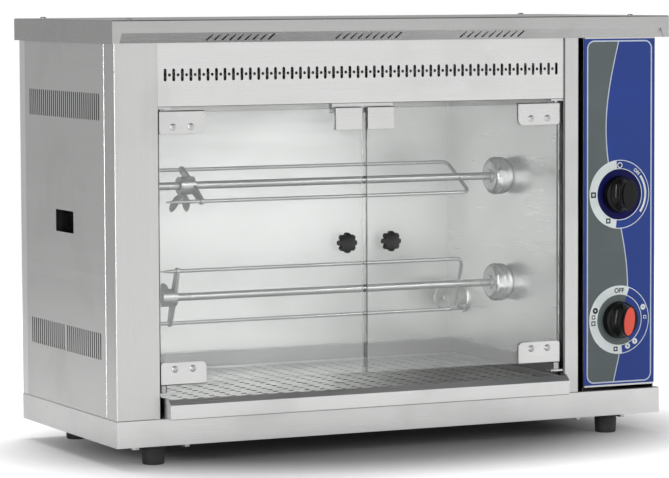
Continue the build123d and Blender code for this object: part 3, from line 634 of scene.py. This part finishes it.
def steelMaterial(name):
    sheet = {**steelSurface, **steelSheets[name]}
    material, tree, shader, coords = newMaterial(name)
    grain = effect(tree, "grain", Coords=coords, Stretch=sheet["stretch"], Contrast=sheet["contrast"])
    marks = effect(tree, "marks", Coords=coords, Size=sheet["markSize"])
    wave = effect(tree, "wave", Coords=coords, Size=sheet["waveSize"])
    smeared = ramp(tree, marks["Smear"], 0.0, 1.0, sheet["wiped"], sheet["smeared"])
    tone = calc(tree, "MULTIPLY", grain["Tone"], smeared)
    # painted shade: darker towards the faces, folds and corners listed in shadedFaces, by place
    for axis, edge, beyond, level in sheet.get("shades", []):
        shade = ramp(tree, splitAxes(tree, coords)[axis], edge, beyond, 1.0, level)
        tone = calc(tree, "MULTIPLY", tone, shade)
    if "rim" in sheet:
        # painted shade: darker towards the outline, a painted reflection of the dark oven that rods and domes
        # mirror there
        facing = addNode(tree, "ShaderNodeLayerWeight").outputs["Facing"]
        rim = ramp(tree, facing, sheet["rimFrom"], sheet["rimTo"], 1.0, sheet["rim"])
        tone = calc(tree, "MULTIPLY", tone, rim)
    feed(tree, tinted(tree, sheet["colour"], tone), shader.inputs["Base Color"])
    rough = ramp(tree, grain["Grain"], sheet["grainFrom"], sheet["grainTo"],
                 sheet["rough"] + sheet["smoother"], sheet["rough"] + sheet["rougher"])
    rough = calc(tree, "MULTIPLY_ADD", marks["Smear"], sheet["smearRough"], rough)
    feed(tree, rough, shader.inputs["Roughness"])
    shader.inputs["Metallic"].default_value = 1.0
    slow = addNode(tree, "ShaderNodeBump", {
        "Height": wave["Wave"], "Strength": sheet["wave"], "Distance": sheet["waveDepth"]})
    fine = addNode(tree, "ShaderNodeBump", {
        "Height": grain["Grain"], "Strength": sheet["bump"], "Distance": sheet["grainDepth"],
        "Normal": slow.outputs[0]})
    feed(tree, fine.outputs[0], shader.inputs["Normal"])
    return material


plastics = {
    "blackRubber": {
        "colour": (0.045, 0.045, 0.046), "lift": 1.7, "rough": 0.62, "peel": 1400.0, "depth": 0.25,
    },
    "blackGloss": {
        "colour": (0.008, 0.008, 0.009), "lift": 1.5, "rough": 0.10, "shine": 0.22, "peel": 900.0,
        "depth": 0.05,
    },
    "blackSatin": {
        "colour": (0.012, 0.012, 0.013), "lift": 1.6, "rough": 0.38, "peel": 1100.0, "depth": 0.12,
    },
    "redGloss": {"colour": (1.0, 0.11, 0.07), "lift": 1.0, "rough": 0.30, "peel": 900.0, "depth": 0.06},
    "motorPaint": {
        "colour": (0.045, 0.06, 0.075), "lift": 1.3, "rough": 0.42, "peel": 700.0, "depth": 0.2,
    },
    "whiteCeramic": {
        "colour": (0.80, 0.79, 0.75), "lift": 1.04, "rough": 0.22, "peel": 600.0, "depth": 0.08,
    },
}
plasticSurface = {"markSize": 22.0, "patches": 0.6, "scuffs": 0.4, "rougher": 0.09, "shine": 0.5}
peelDepth = 0.0002


def addPeel(tree, shader, skin, strength):
    peel = addNode(tree, "ShaderNodeBump", {
        "Height": skin["Skin"], "Strength": strength, "Distance": peelDepth})
    feed(tree, peel.outputs[0], shader.inputs["Normal"])


def plasticMaterial(name):
    plastic = {**plasticSurface, **plastics[name]}
    material, tree, shader, coords = newMaterial(name)
    skin = effect(tree, "skin", Coords=coords, Size=plastic["peel"])
    marks = effect(tree, "marks", Coords=coords, Size=plastic["markSize"])
    scuffs = calc(tree, "MULTIPLY", marks["Scuff"], plastic["scuffs"])
    worn = calc(tree, "MULTIPLY_ADD", skin["Patch"], plastic["patches"], scuffs)
    tone = ramp(tree, worn, 0.0, 1.0, 1.0, plastic["lift"])
    rough = ramp(tree, marks["Smear"], 0.0, 1.0, plastic["rough"], plastic["rough"] + plastic["rougher"])
    feed(tree, tinted(tree, plastic["colour"], tone), shader.inputs["Base Color"])
    feed(tree, rough, shader.inputs["Roughness"])
    shader.inputs["Specular IOR Level"].default_value = plastic["shine"]
    addPeel(tree, shader, skin, plastic["depth"])
    return material


glasses = {
    "doorGlass": {"colour": (0.975, 0.990, 0.984), "smear": 0.012, "shine": 1.0, "clear": 0.90},
    "lampGlass": {"colour": (0.985, 0.985, 0.975), "smear": 0.05, "shine": 0.5, "clear": 1.0},
}
glassSurface = {"markSize": 5.0, "smearTone": 0.988, "index": 1.48, "letsThrough": (0.95, 0.965, 0.955, 1)}


def glassMaterial(name):
    # lamps shine through the pane, so the oven behind it stays lit
    glass = {**glassSurface, **glasses[name]}
    material, tree, shader, coords = newMaterial(name)
    marks = effect(tree, "marks", Coords=coords, Size=glass["markSize"])
    tone = ramp(tree, marks["Smear"], 0.0, 1.0, 1.0, glass["smearTone"])
    feed(tree, tinted(tree, glass["colour"], tone), shader.inputs["Base Color"])
    feed(tree, ramp(tree, marks["Smear"], 0.0, 1.0, 0.0, glass["smear"]), shader.inputs["Roughness"])
    shader.inputs["IOR"].default_value = glass["index"]
    shader.inputs["Specular IOR Level"].default_value = glass["shine"]
    shader.inputs["Transmission Weight"].default_value = glass["clear"]
    rays = addNode(tree, "ShaderNodeLightPath")
    clear = addNode(tree, "ShaderNodeBsdfTransparent")
    clear.inputs["Color"].default_value = glass["letsThrough"]
    mix = addNode(tree, "ShaderNodeMixShader")
    feed(tree, rays.outputs["Is Shadow Ray"], mix.inputs[0])
    tree.links.new(shader.outputs[0], mix.inputs[1])
    tree.links.new(clear.outputs[0], mix.inputs[2])
    output = next(n for n in tree.nodes if n.type == "OUTPUT_MATERIAL")
    tree.links.new(mix.outputs[0], output.inputs["Surface"])
    return material


# printed front of the control panel: grey and blue either side of a slow wave, in a white frame;
# its middle is in metres and the rest in millimetres from there
panelPrint = {
    "centre": (0.41925, 0.381),
    "waveMiddle": -5.0,
    "waveSwing": -21.3,
    "waveLength": 543.0,
    "waveShift": -6.5,
    "lineWidth": 1.9,
    "frameHalf": (62.3, 290.0),
    "frameCorner": 13.0,
    "frameWidth": 2.3,
    "blur": 0.2,
    "markSize": 9.0,
    "peel": 900.0,
    "peelStrength": 0.06,
    "shine": 0.4,
    "smearTones": (0.96, 1.06),
    "smearRough": (0.30, 0.40),
    "blue": screenColour(26, 62, 150),
    "grey": screenColour(98, 108, 109),
    "white": screenColour(218, 230, 250),
}


def printedLine(tree, distance, width):
    # 1 within half the line's width, 0 beyond
    half, blur = width / 2, panelPrint["blur"]
    return ramp(tree, calc(tree, "ABSOLUTE", distance), half - blur, half + blur, 1.0, 0.0)


def printMaterial():
    sizes = panelPrint
    material, tree, shader, coords = newMaterial("printedPanel")
    across, down = sizes["centre"]
    place = addNode(tree, "ShaderNodeMapping", {
        "Vector": coords, "Scale": (1000.0, 1000.0, 1000.0), "Location": (-1000 * across, 0.0, -1000 * down)})
    spot = splitAxes(tree, place.outputs[0])
    x, z = spot["X"], spot["Z"]
    turn = calc(tree, "MULTIPLY", calc(tree, "ADD", z, sizes["waveShift"]), 2 * math.pi / sizes["waveLength"])
    edge = calc(tree, "MULTIPLY_ADD", calc(tree, "SINE", turn), sizes["waveSwing"], sizes["waveMiddle"])
    aside = calc(tree, "SUBTRACT", x, edge)
    halfX, halfZ = (half - sizes["frameCorner"] for half in sizes["frameHalf"])
    overX = calc(tree, "SUBTRACT", calc(tree, "ABSOLUTE", x), halfX)
    overZ = calc(tree, "SUBTRACT", calc(tree, "ABSOLUTE", z), halfZ)
    corner = addNode(tree, "ShaderNodeCombineXYZ", {
        "X": calc(tree, "MAXIMUM", overX, 0.0), "Y": calc(tree, "MAXIMUM", overZ, 0.0)})
    reach = addNode(tree, "ShaderNodeVectorMath", operation="LENGTH")
    feed(tree, corner.outputs[0], reach.inputs[0])
    inside = calc(tree, "MINIMUM", calc(tree, "MAXIMUM", overX, overZ), 0.0)
    border = calc(tree, "SUBTRACT", calc(tree, "ADD", reach.outputs["Value"], inside), sizes["frameCorner"])
    within = ramp(tree, border, -sizes["blur"], sizes["blur"], 1.0, 0.0)
    greySide = calc(tree, "MULTIPLY", within, ramp(tree, aside, -sizes["blur"], sizes["blur"], 1.0, 0.0))
    waveLine = calc(tree, "MULTIPLY", within, printedLine(tree, aside, sizes["lineWidth"]))
    frameLine = printedLine(tree, border, sizes["frameWidth"])
    marks = effect(tree, "marks", Coords=coords, Size=sizes["markSize"])
    skin = effect(tree, "skin", Coords=coords, Size=sizes["peel"])
    ink = blendColour(tree, greySide, sizes["blue"], sizes["grey"])
    ink = blendColour(tree, calc(tree, "MAXIMUM", waveLine, frameLine), ink, sizes["white"])
    tone = ramp(tree, marks["Smear"], 0.0, 1.0, *sizes["smearTones"])
    rough = ramp(tree, marks["Smear"], 0.0, 1.0, *sizes["smearRough"])
    feed(tree, tinted(tree, ink, tone), shader.inputs["Base Color"])
    feed(tree, rough, shader.inputs["Roughness"])
    shader.inputs["Specular IOR Level"].default_value = sizes["shine"]
    addPeel(tree, shader, skin, sizes["peelStrength"])
    return material


inks = {
    "whiteInk": {"colour": screenColour(244, 252, 252), "rough": 0.36},
    "darkInk": {"colour": screenColour(24, 30, 40), "rough": 0.36},
    "navyInk": {"colour": screenColour(6, 8, 84), "rough": 0.34, "shine": 0.15},
    "blueInk": {"colour": panelPrint["blue"], "rough": 0.36, "shine": panelPrint["shine"]},
    "greyInk": {"colour": panelPrint["grey"], "rough": 0.36, "shine": panelPrint["shine"]},
}
inkSurface = {"patchTones": (0.95, 1.04), "smoother": -0.05, "rougher": 0.06, "shine": 0.5}


def inkMaterial(name):
    ink = {**inkSurface, **inks[name]}
    material, tree, shader, coords = newMaterial(name)
    skin = effect(tree, "skin", Coords=coords, Size=panelPrint["peel"])
    marks = effect(tree, "marks", Coords=coords, Size=panelPrint["markSize"])
    tone = ramp(tree, skin["Patch"], 0.0, 1.0, *ink["patchTones"])
    rough = ramp(tree, marks["Smear"], 0.0, 1.0,
                 ink["rough"] + ink["smoother"], ink["rough"] + ink["rougher"])
    feed(tree, tinted(tree, ink["colour"], tone), shader.inputs["Base Color"])
    feed(tree, rough, shader.inputs["Roughness"])
    shader.inputs["Specular IOR Level"].default_value = ink["shine"]
    return material


wears = {
    "steelFront": ["base_plinth", "drip_drawer"],
    "steelHeader": ["header_panel"],
    "steelLidPaintedShade": ["top_cover"],
    "steelPanel": ["control_panel"],
    "steelBack": ["back_panel"],
    "steelUpright": ["left_front_post"],
    "steelRightPost": ["right_front_post"],
    "steelLeftSide": ["left_side_panel"],
    "steelRightSide": ["right_side_panel"],
    "steelBackWall": ["inner_back_wall"],
    "steelCeiling": ["inner_ceiling"],
    "steelDull": ["floor_liner"],
    "steelGrid": ["drip_grid"],
    "steelClamp": ["left_hinge_clamps", "right_hinge_clamps", "left_catch_plate", "right_catch_plate",
                   "magnet_catch"],
    "steelMirror": ["lamp_flange"],
    "steelLeftWall": ["inner_left_wall"],
    "steelRightCorner": ["inner_right_wall"],
    "steelShaft": ["upper_spit", "lower_spit", "upper_fork", "lower_fork",
                   "upper_wing_screw", "lower_wing_screw", "left_hinge_pins", "right_hinge_pins"],
    "chromeDome": ["upper_drive_bell", "lower_drive_bell"],
    "zincPlate": ["base_bottom", "base_bolts", "top_cover_screws", "left_door_screws", "right_door_screws",
                  "pivot_brackets", "element_hangers"],
    "castAlloy": ["gearboxes"],
    "brassTurned": ["spit_bushes"],
    "elementSteel": ["heating_elements"],
    "blackRubber": ["feet"],
    "blackGloss": ["upper_dial_knob", "lower_dial_knob"],
    "blackSatin": ["left_door_knob", "right_door_knob", "cable_gland", "upper_switch", "lower_switch"],
    "redGloss": ["lower_knob_inlay"],
    "motorPaint": ["motors"],
    "whiteCeramic": ["lamp_holder", "terminal_block"],
    "doorGlass": ["left_door_glass", "right_door_glass"],
    "lampGlass": ["lamp_glass", "lamp_bulb"],
    "printedPanel": ["control_overlay"],
}

finishes = {name: steelMaterial(name) for name in steelSheets if name in wears}
finishes.update({name: plasticMaterial(name) for name in plastics})
finishes.update({name: glassMaterial(name) for name in glasses})
finishes.update({name: inkMaterial(name) for name in inks})
finishes["printedPanel"] = printMaterial()

for finish, names in wears.items():
    for name in names:
        nodes[name].data.materials.clear()
        nodes[name].data.materials.append(finishes[finish])
plain = [name for name in nodes if not any(name in names for names in wears.values())]
print("materials given, left plain:", plain)


# edges flatter than these angles are shaded smooth, and sharper ones are rounded
smoothBelow = math.radians(30)
turnedSmooth = math.radians(35)
roundAbove = math.radians(32)
mergeWithin = {"solid": 0.00001, "ink": 0.000001}
flatWithin = 0.01
roundSteps = 2


def mergedCopy(name, node):
    # a copy of a solid with its loose triangles merged
    piece = bpy.data.objects.new(name, nodes[node].data.copy())
    scene.collection.objects.link(piece)
    work(piece)
    bpy.ops.object.mode_set(mode="EDIT")
    bpy.ops.mesh.select_all(action="SELECT")
    bpy.ops.mesh.remove_doubles(threshold=mergeWithin["solid"])
    bpy.ops.mesh.dissolve_limited(angle_limit=flatWithin)
    done()
    bpy.ops.object.shade_smooth_by_angle(angle=smoothBelow)
    return piece


def roundedCopy(name, cut):
    # a finer copy of a solid, its sharp edges rounded
    piece = mergedCopy(name, cut["of"])
    bpy.ops.object.modifier_add(type="BEVEL")
    edge = piece.modifiers[-1]
    edge.width, edge.segments = cut["edge"], cut.get("steps", roundSteps)
    edge.limit_method, edge.angle_limit = "ANGLE", roundAbove
    edge.harden_normals = True  # broad faces stay flat beside the rounded edge
    bpy.ops.object.modifier_apply(modifier=edge.name)
    settle(piece, name, cut["body"], finishes[cut["finish"]])
    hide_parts(cut["of"])


doorCuts = {
    "pane": {"of": "door_glass", "edge": 0.0008, "steps": 1, "finish": "doorGlass", "slot": "clear_glass"},
    "star_knob": {"of": "door_knob", "edge": 0.0009, "finish": "blackSatin", "slot": "black_plastic"},
    "clamps": {"of": "hinge_clamps", "edge": 0.0004, "finish": "steelClamp", "slot": "stainless"},
    "catch": {"of": "catch_plate", "edge": 0.0004, "finish": "steelClamp", "slot": "stainless"},
}
dialCut = {"edge": 0.0014, "finish": "blackGloss", "slot": "black_plastic"}
boltCut = {"of": "base_bolts", "body": "chassis", "edge": 0.0009, "finish": "zincPlate", "slot": "zinc_steel"}
roundedPieces = {"plinth_bolts": boltCut}
for side in ("left_", "right_"):
    for name, cut in doorCuts.items():
        roundedPieces[side + name] = {**cut, "of": side + cut["of"], "body": side + "door"}
for dial in ("upper_", "lower_"):
    roundedPieces[dial + "knob"] = {**dialCut, "of": dial + "dial_knob", "body": dial + "knob"}
for name, cut in roundedPieces.items():
    roundedCopy(name, cut)
print("edges rounded on", len(roundedPieces), "pieces")

# side sheets with the upright edge eased where they meet the front
easedEdge = 0.0013
onEdge = 0.00005
sideSkins = {
    "left_side_skin": {"of": "left_side_panel", "corner": 0, "finish": "steelLeftSide"},
    "right_side_skin": {"of": "right_side_panel", "corner": 1, "finish": "steelRightSide"},
}


def easedSide(name, cut):
    piece = mergedCopy(name, cut["of"])
    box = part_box(cut["of"])
    outer, front = box[cut["corner"]].x, box[0].y
    pickEdges(piece, lambda end: max(abs(end.x - outer), abs(end.y - front)) < onEdge)
    bpy.ops.mesh.bevel(offset=easedEdge, segments=1, affect="EDGES")
    done()
    bpy.ops.object.shade_smooth_by_angle(angle=smoothBelow)
    settle(piece, name, "chassis", finishes[cut["finish"]])
    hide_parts(cut["of"])


for name, cut in sideSkins.items():
    easedSide(name, cut)
print("side edges eased")


def turned(profile, sides):
    # a turned shape, raised ring by ring from a disc
    clearSelection()
    firstRadius, firstHeight = profile[0]
    bpy.ops.mesh.primitive_circle_add(
        vertices=sides, radius=firstRadius, fill_type="NGON", location=(0, 0, firstHeight))
    piece = bpy.context.object
    bpy.ops.object.transform_apply(location=True, rotation=True, scale=True)
    bpy.ops.object.mode_set(mode="EDIT")
    bpy.ops.mesh.select_all(action="SELECT")
    for (oldRadius, oldHeight), (radius, height) in zip(profile, profile[1:]):
        bpy.ops.mesh.extrude_region_move(TRANSFORM_OT_translate={"value": (0, 0, height - oldHeight)})
        growth = radius / oldRadius
        bpy.ops.transform.resize(value=(growth, growth, 1), center_override=(0, 0, height))
    bpy.ops.mesh.select_all(action="SELECT")
    bpy.ops.mesh.normals_make_consistent(inside=False)
    done()
    bpy.ops.object.shade_smooth_by_angle(angle=turnedSmooth)
    return piece


def placedCopies(model, places, turn=(0, 0, 0)):
    # one copy with its own mesh at each place, all joined into one piece
    copies = []
    for place in places:
        copy = model.copy()
        copy.data = model.data.copy()
        scene.collection.objects.link(copy)
        copy.location = place
        copy.rotation_euler = turn
        copies.append(copy)
    bpy.data.objects.remove(model)
    return joined(copies)


def joined(parts):
    clearSelection()
    for part in parts:
        part.select_set(True)
    bpy.context.view_layer.objects.active = parts[0]
    bpy.ops.object.transform_apply(location=True, rotation=True, scale=True)
    bpy.ops.object.join()
    return bpy.context.object


# rubber feet with a neck under the rim
rubberFoot = {
    "profile": [(0.0150, 0.0010), (0.0165, 0.0), (0.0178, 0.0012), (0.0190, 0.0235), (0.0184, 0.0245),
                (0.0184, 0.0262), (0.0192, 0.0272), (0.0200, 0.0282), (0.0200, 0.0332), (0.0194, 0.0340)],
    "sides": 40,
    "radius": 0.020,
}


def cornerPlaces(box, inset, height):
    # the four corners of a box, moved inwards
    low, high = box
    return [(x, y, height) for x in (low.x + inset, high.x - inset) for y in (low.y + inset, high.y - inset)]


def makeFeet():
    places = cornerPlaces(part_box("feet"), rubberFoot["radius"], 0.0)
    feet = placedCopies(turned(rubberFoot["profile"], rubberFoot["sides"]), places)
    settle(feet, "rubber_feet", "chassis", finishes["blackRubber"])
    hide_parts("feet")


# domed screws with a cross recess
crossScrew = {
    "profile": [(0.0055, 0.0), (0.0055, 0.0005), (0.0053, 0.0010), (0.0047, 0.0017), (0.0036, 0.0022),
                (0.0020, 0.0025)],
    "sides": 32,
    "radius": 0.0055,
    "height": 0.0026,
    "slotLength": 0.0056,
    "slotWidth": 0.0011,
    "slotDepth": 0.0016,
    "clampInsets": (0.024, 0.055),
    "clampEdge": 0.026,
}


def crossHead():
    head = turned(crossScrew["profile"], crossScrew["sides"])
    top = crossScrew["profile"][-1][1]
    for turn in (0, math.pi / 2):
        clearSelection()
        bpy.ops.mesh.primitive_cube_add(size=1, location=(0, 0, top), rotation=(0, 0, turn))
        cutter = bpy.context.object
        cutter.scale = (crossScrew["slotLength"], crossScrew["slotWidth"], 2 * crossScrew["slotDepth"])
        bpy.ops.object.transform_apply(location=True, rotation=True, scale=True)
        work(head)
        bpy.ops.object.modifier_add(type="BOOLEAN")
        cut = head.modifiers[-1]
        cut.operation, cut.object, cut.solver = "DIFFERENCE", cutter, "EXACT"
        bpy.ops.object.modifier_apply(modifier=cut.name)
        bpy.data.objects.remove(cutter)
    bpy.ops.object.shade_smooth_by_angle(angle=smoothBelow)
    return head


def makeScrews():
    # clamp screws face forwards, cover screws face up
    for side, sign in (("left", 1), ("right", -1)):
        low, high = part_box(side + "_hinge_clamps")
        pinEdge = low.x if sign > 0 else high.x
        across = [pinEdge + sign * inset for inset in crossScrew["clampInsets"]]
        heights = (high.z - crossScrew["clampEdge"], low.z + crossScrew["clampEdge"])
        places = [(x, low.y, z) for x in across for z in heights]
        front = placedCopies(crossHead(), places, (math.pi / 2, 0, 0))
        knobLow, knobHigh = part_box(side + "_door_knob")
        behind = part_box(side + "_door_screws")[1].y - crossScrew["height"]
        place = ((knobLow.x + knobHigh.x) / 2, behind, (knobLow.z + knobHigh.z) / 2)
        rear = placedCopies(crossHead(), [place], (-math.pi / 2, 0, 0))
        screws = joined([front, rear])
        settle(screws, side + "_cross_screws", side + "_door", finishes["zincPlate"])
        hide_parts(side + "_door_screws")
    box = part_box("top_cover_screws")
    cover = placedCopies(crossHead(), cornerPlaces(box, crossScrew["radius"], box[0].z))
    settle(cover, "cover_cross_screws", "chassis", finishes["zincPlate"])
    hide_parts("top_cover_screws")


makeFeet()
makeScrews()
print("feet and screws made")


# printed scales round the two dials: millimetres, angles clockwise from the top
inkDepth = 0.0001
inkSteps = {"bandAngle": 4, "bandLeast": 8, "ringSides": 20, "letterCurve": 3}
wordWeight = 0.035
# later prints lie over earlier ones
inkLifts = {"greyInk": 0.15, "blueInk": 0.15, "navyInk": 0.15, "whiteInk": 0.5, "darkInk": 0.85}
dialScales = {
    "upper": {
        "blueInk": {"bands": [(44, 57.5, -6, 187)]},
        "whiteInk": {"bands": [(43, 58.5, 187, 354), (57.2, 58.5, -6, 187), (43, 44.3, -6, 187),
                               (49.0, 53.0, 53, 127)],
                     "rings": [(49.5, 1, 3.4, 5.0)], "words": [("ON", 8.5, 50.5, 42)]},
        "navyInk": {"bands": [(30.5, 43, 0, 360)]},
        "darkInk": {"frames": [(50.7, 270, 9.6, 2.7), (49.8, 206, 8.6, 2.4)], "rings": [(49.5, 1, 0.3, 2.1)]},
    },
    "lower": {
        "greyInk": {"bands": [(30.5, 43.3, 150, 380)]},
        "blueInk": {"bands": [(44, 57.5, 20, 174), (30.5, 43.3, 20, 150)]},
        "whiteInk": {"bands": [(43, 58.5, 174, 380), (57.2, 58.5, 20, 174), (43, 44.3, 20, 174)],
                     "rings": [(51.0, 67, 1.2, 5.0), (49.0, 141, 1.2, 5.0), (48.6, 160, 1.6, 5.0)],
                     "frames": [(50.7, 87, 6.0, 1.3)]},
        "darkInk": {"frames": [(50.7, 265, 8.0, 1.9), (50.7, 277, 7.0, 1.5), (50.2, 188, 8.0, 2.2)],
                    "rings": [(49.8, 290, 1.6, 5.2)], "words": [("OFF", 11.0, 49.6, 0)]},
    },
}


def inkBand(centre, inner, outer, start, end):
    # a sliver across the band, spun round the dial's axis
    clearSelection()
    bpy.ops.mesh.primitive_plane_add(
        size=1, rotation=(0, math.pi / 2 + math.radians(start), 0),
        location=onDial(centre, (inner + outer) / 2, start))
    band = bpy.context.object
    band.scale = ((outer - inner) / 1000, inkDepth, 1)
    bpy.ops.object.transform_apply(location=True, rotation=True, scale=True)
    bpy.ops.object.mode_set(mode="EDIT")
    bpy.ops.mesh.select_all(action="SELECT")
    steps = max(inkSteps["bandLeast"], int((end - start) / inkSteps["bandAngle"]))
    bpy.ops.mesh.spin(steps=steps, angle=math.radians(end - start), center=centre, axis=(0, -1, 0))
    closeInk()
    return band


def closeInk():
    bpy.ops.mesh.select_all(action="SELECT")
    bpy.ops.mesh.remove_doubles(threshold=mergeWithin["ink"])
    bpy.ops.mesh.normals_make_consistent(inside=False)
    done()


def onDial(centre, radius, angle):
    turn = math.radians(angle)
    return centre + Vector((math.sin(turn) * radius / 1000, 0, math.cos(turn) * radius / 1000))


def inkRing(centre, radius, angle, inner, outer):
    # a round mark with its middle left open
    clearSelection()
    bpy.ops.mesh.primitive_circle_add(
        vertices=inkSteps["ringSides"], radius=outer / 1000, fill_type="NGON",
        rotation=(math.pi / 2, 0, 0), location=onDial(centre, radius, angle))
    return openedMark(bpy.context.object, (outer - inner) / 1000)


def inkFrame(centre, radius, angle, size, line):
    # a square mark with its middle left open
    clearSelection()
    bpy.ops.mesh.primitive_plane_add(
        size=size / 1000, rotation=(math.pi / 2, 0, 0), location=onDial(centre, radius, angle))
    return openedMark(bpy.context.object, line / 1000)


def openedMark(mark, line):
    bpy.ops.object.transform_apply(location=True, rotation=True, scale=True)
    bpy.ops.object.mode_set(mode="EDIT")
    bpy.ops.mesh.select_all(action="SELECT")
    bpy.ops.mesh.inset(thickness=line)
    bpy.ops.mesh.delete(type="FACE")
    bpy.ops.mesh.select_all(action="SELECT")
    bpy.ops.mesh.extrude_region_move(TRANSFORM_OT_translate={"value": (0, inkDepth, 0)})
    bpy.ops.mesh.select_all(action="SELECT")
    bpy.ops.transform.translate(value=(0, -inkDepth / 2, 0))
    closeInk()
    return mark


def inkWord(centre, word, size, radius, angle):
    clearSelection()
    bpy.ops.object.text_add(
        location=onDial(centre, radius, angle), rotation=(math.pi / 2, math.radians(angle), 0))
    text = bpy.context.object
    text.data.body = word
    text.data.size = size / 1000
    text.data.align_x = "CENTER"
    text.data.align_y = "CENTER"
    text.data.resolution_u = inkSteps["letterCurve"]
    text.data.offset = wordWeight * size / 1000
    text.data.extrude = inkDepth / 2
    bpy.ops.object.convert(target="MESH")
    letters = bpy.context.object
    bpy.ops.object.transform_apply(location=True, rotation=True, scale=True)
    bpy.ops.object.mode_set(mode="EDIT")
    closeInk()
    return letters


def makeDialScales():
    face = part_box("control_overlay")[0].y
    for dial, scales in dialScales.items():
        low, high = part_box(dial + "_dial_knob")
        for ink, shapes in scales.items():
            lift = inkDepth * inkLifts[ink]
            centre = Vector(((low.x + high.x) / 2, face - lift, (low.z + high.z) / 2))
            parts = [inkBand(centre, *band) for band in shapes.get("bands", [])]
            parts += [inkRing(centre, *ring) for ring in shapes.get("rings", [])]
            parts += [inkFrame(centre, *frame) for frame in shapes.get("frames", [])]
            parts += [inkWord(centre, *word) for word in shapes.get("words", [])]
            settle(joined(parts), dial + "_scale_" + ink[:-3], "chassis", finishes[ink])


makeDialScales()
print("dial scales printed")

print("finished")
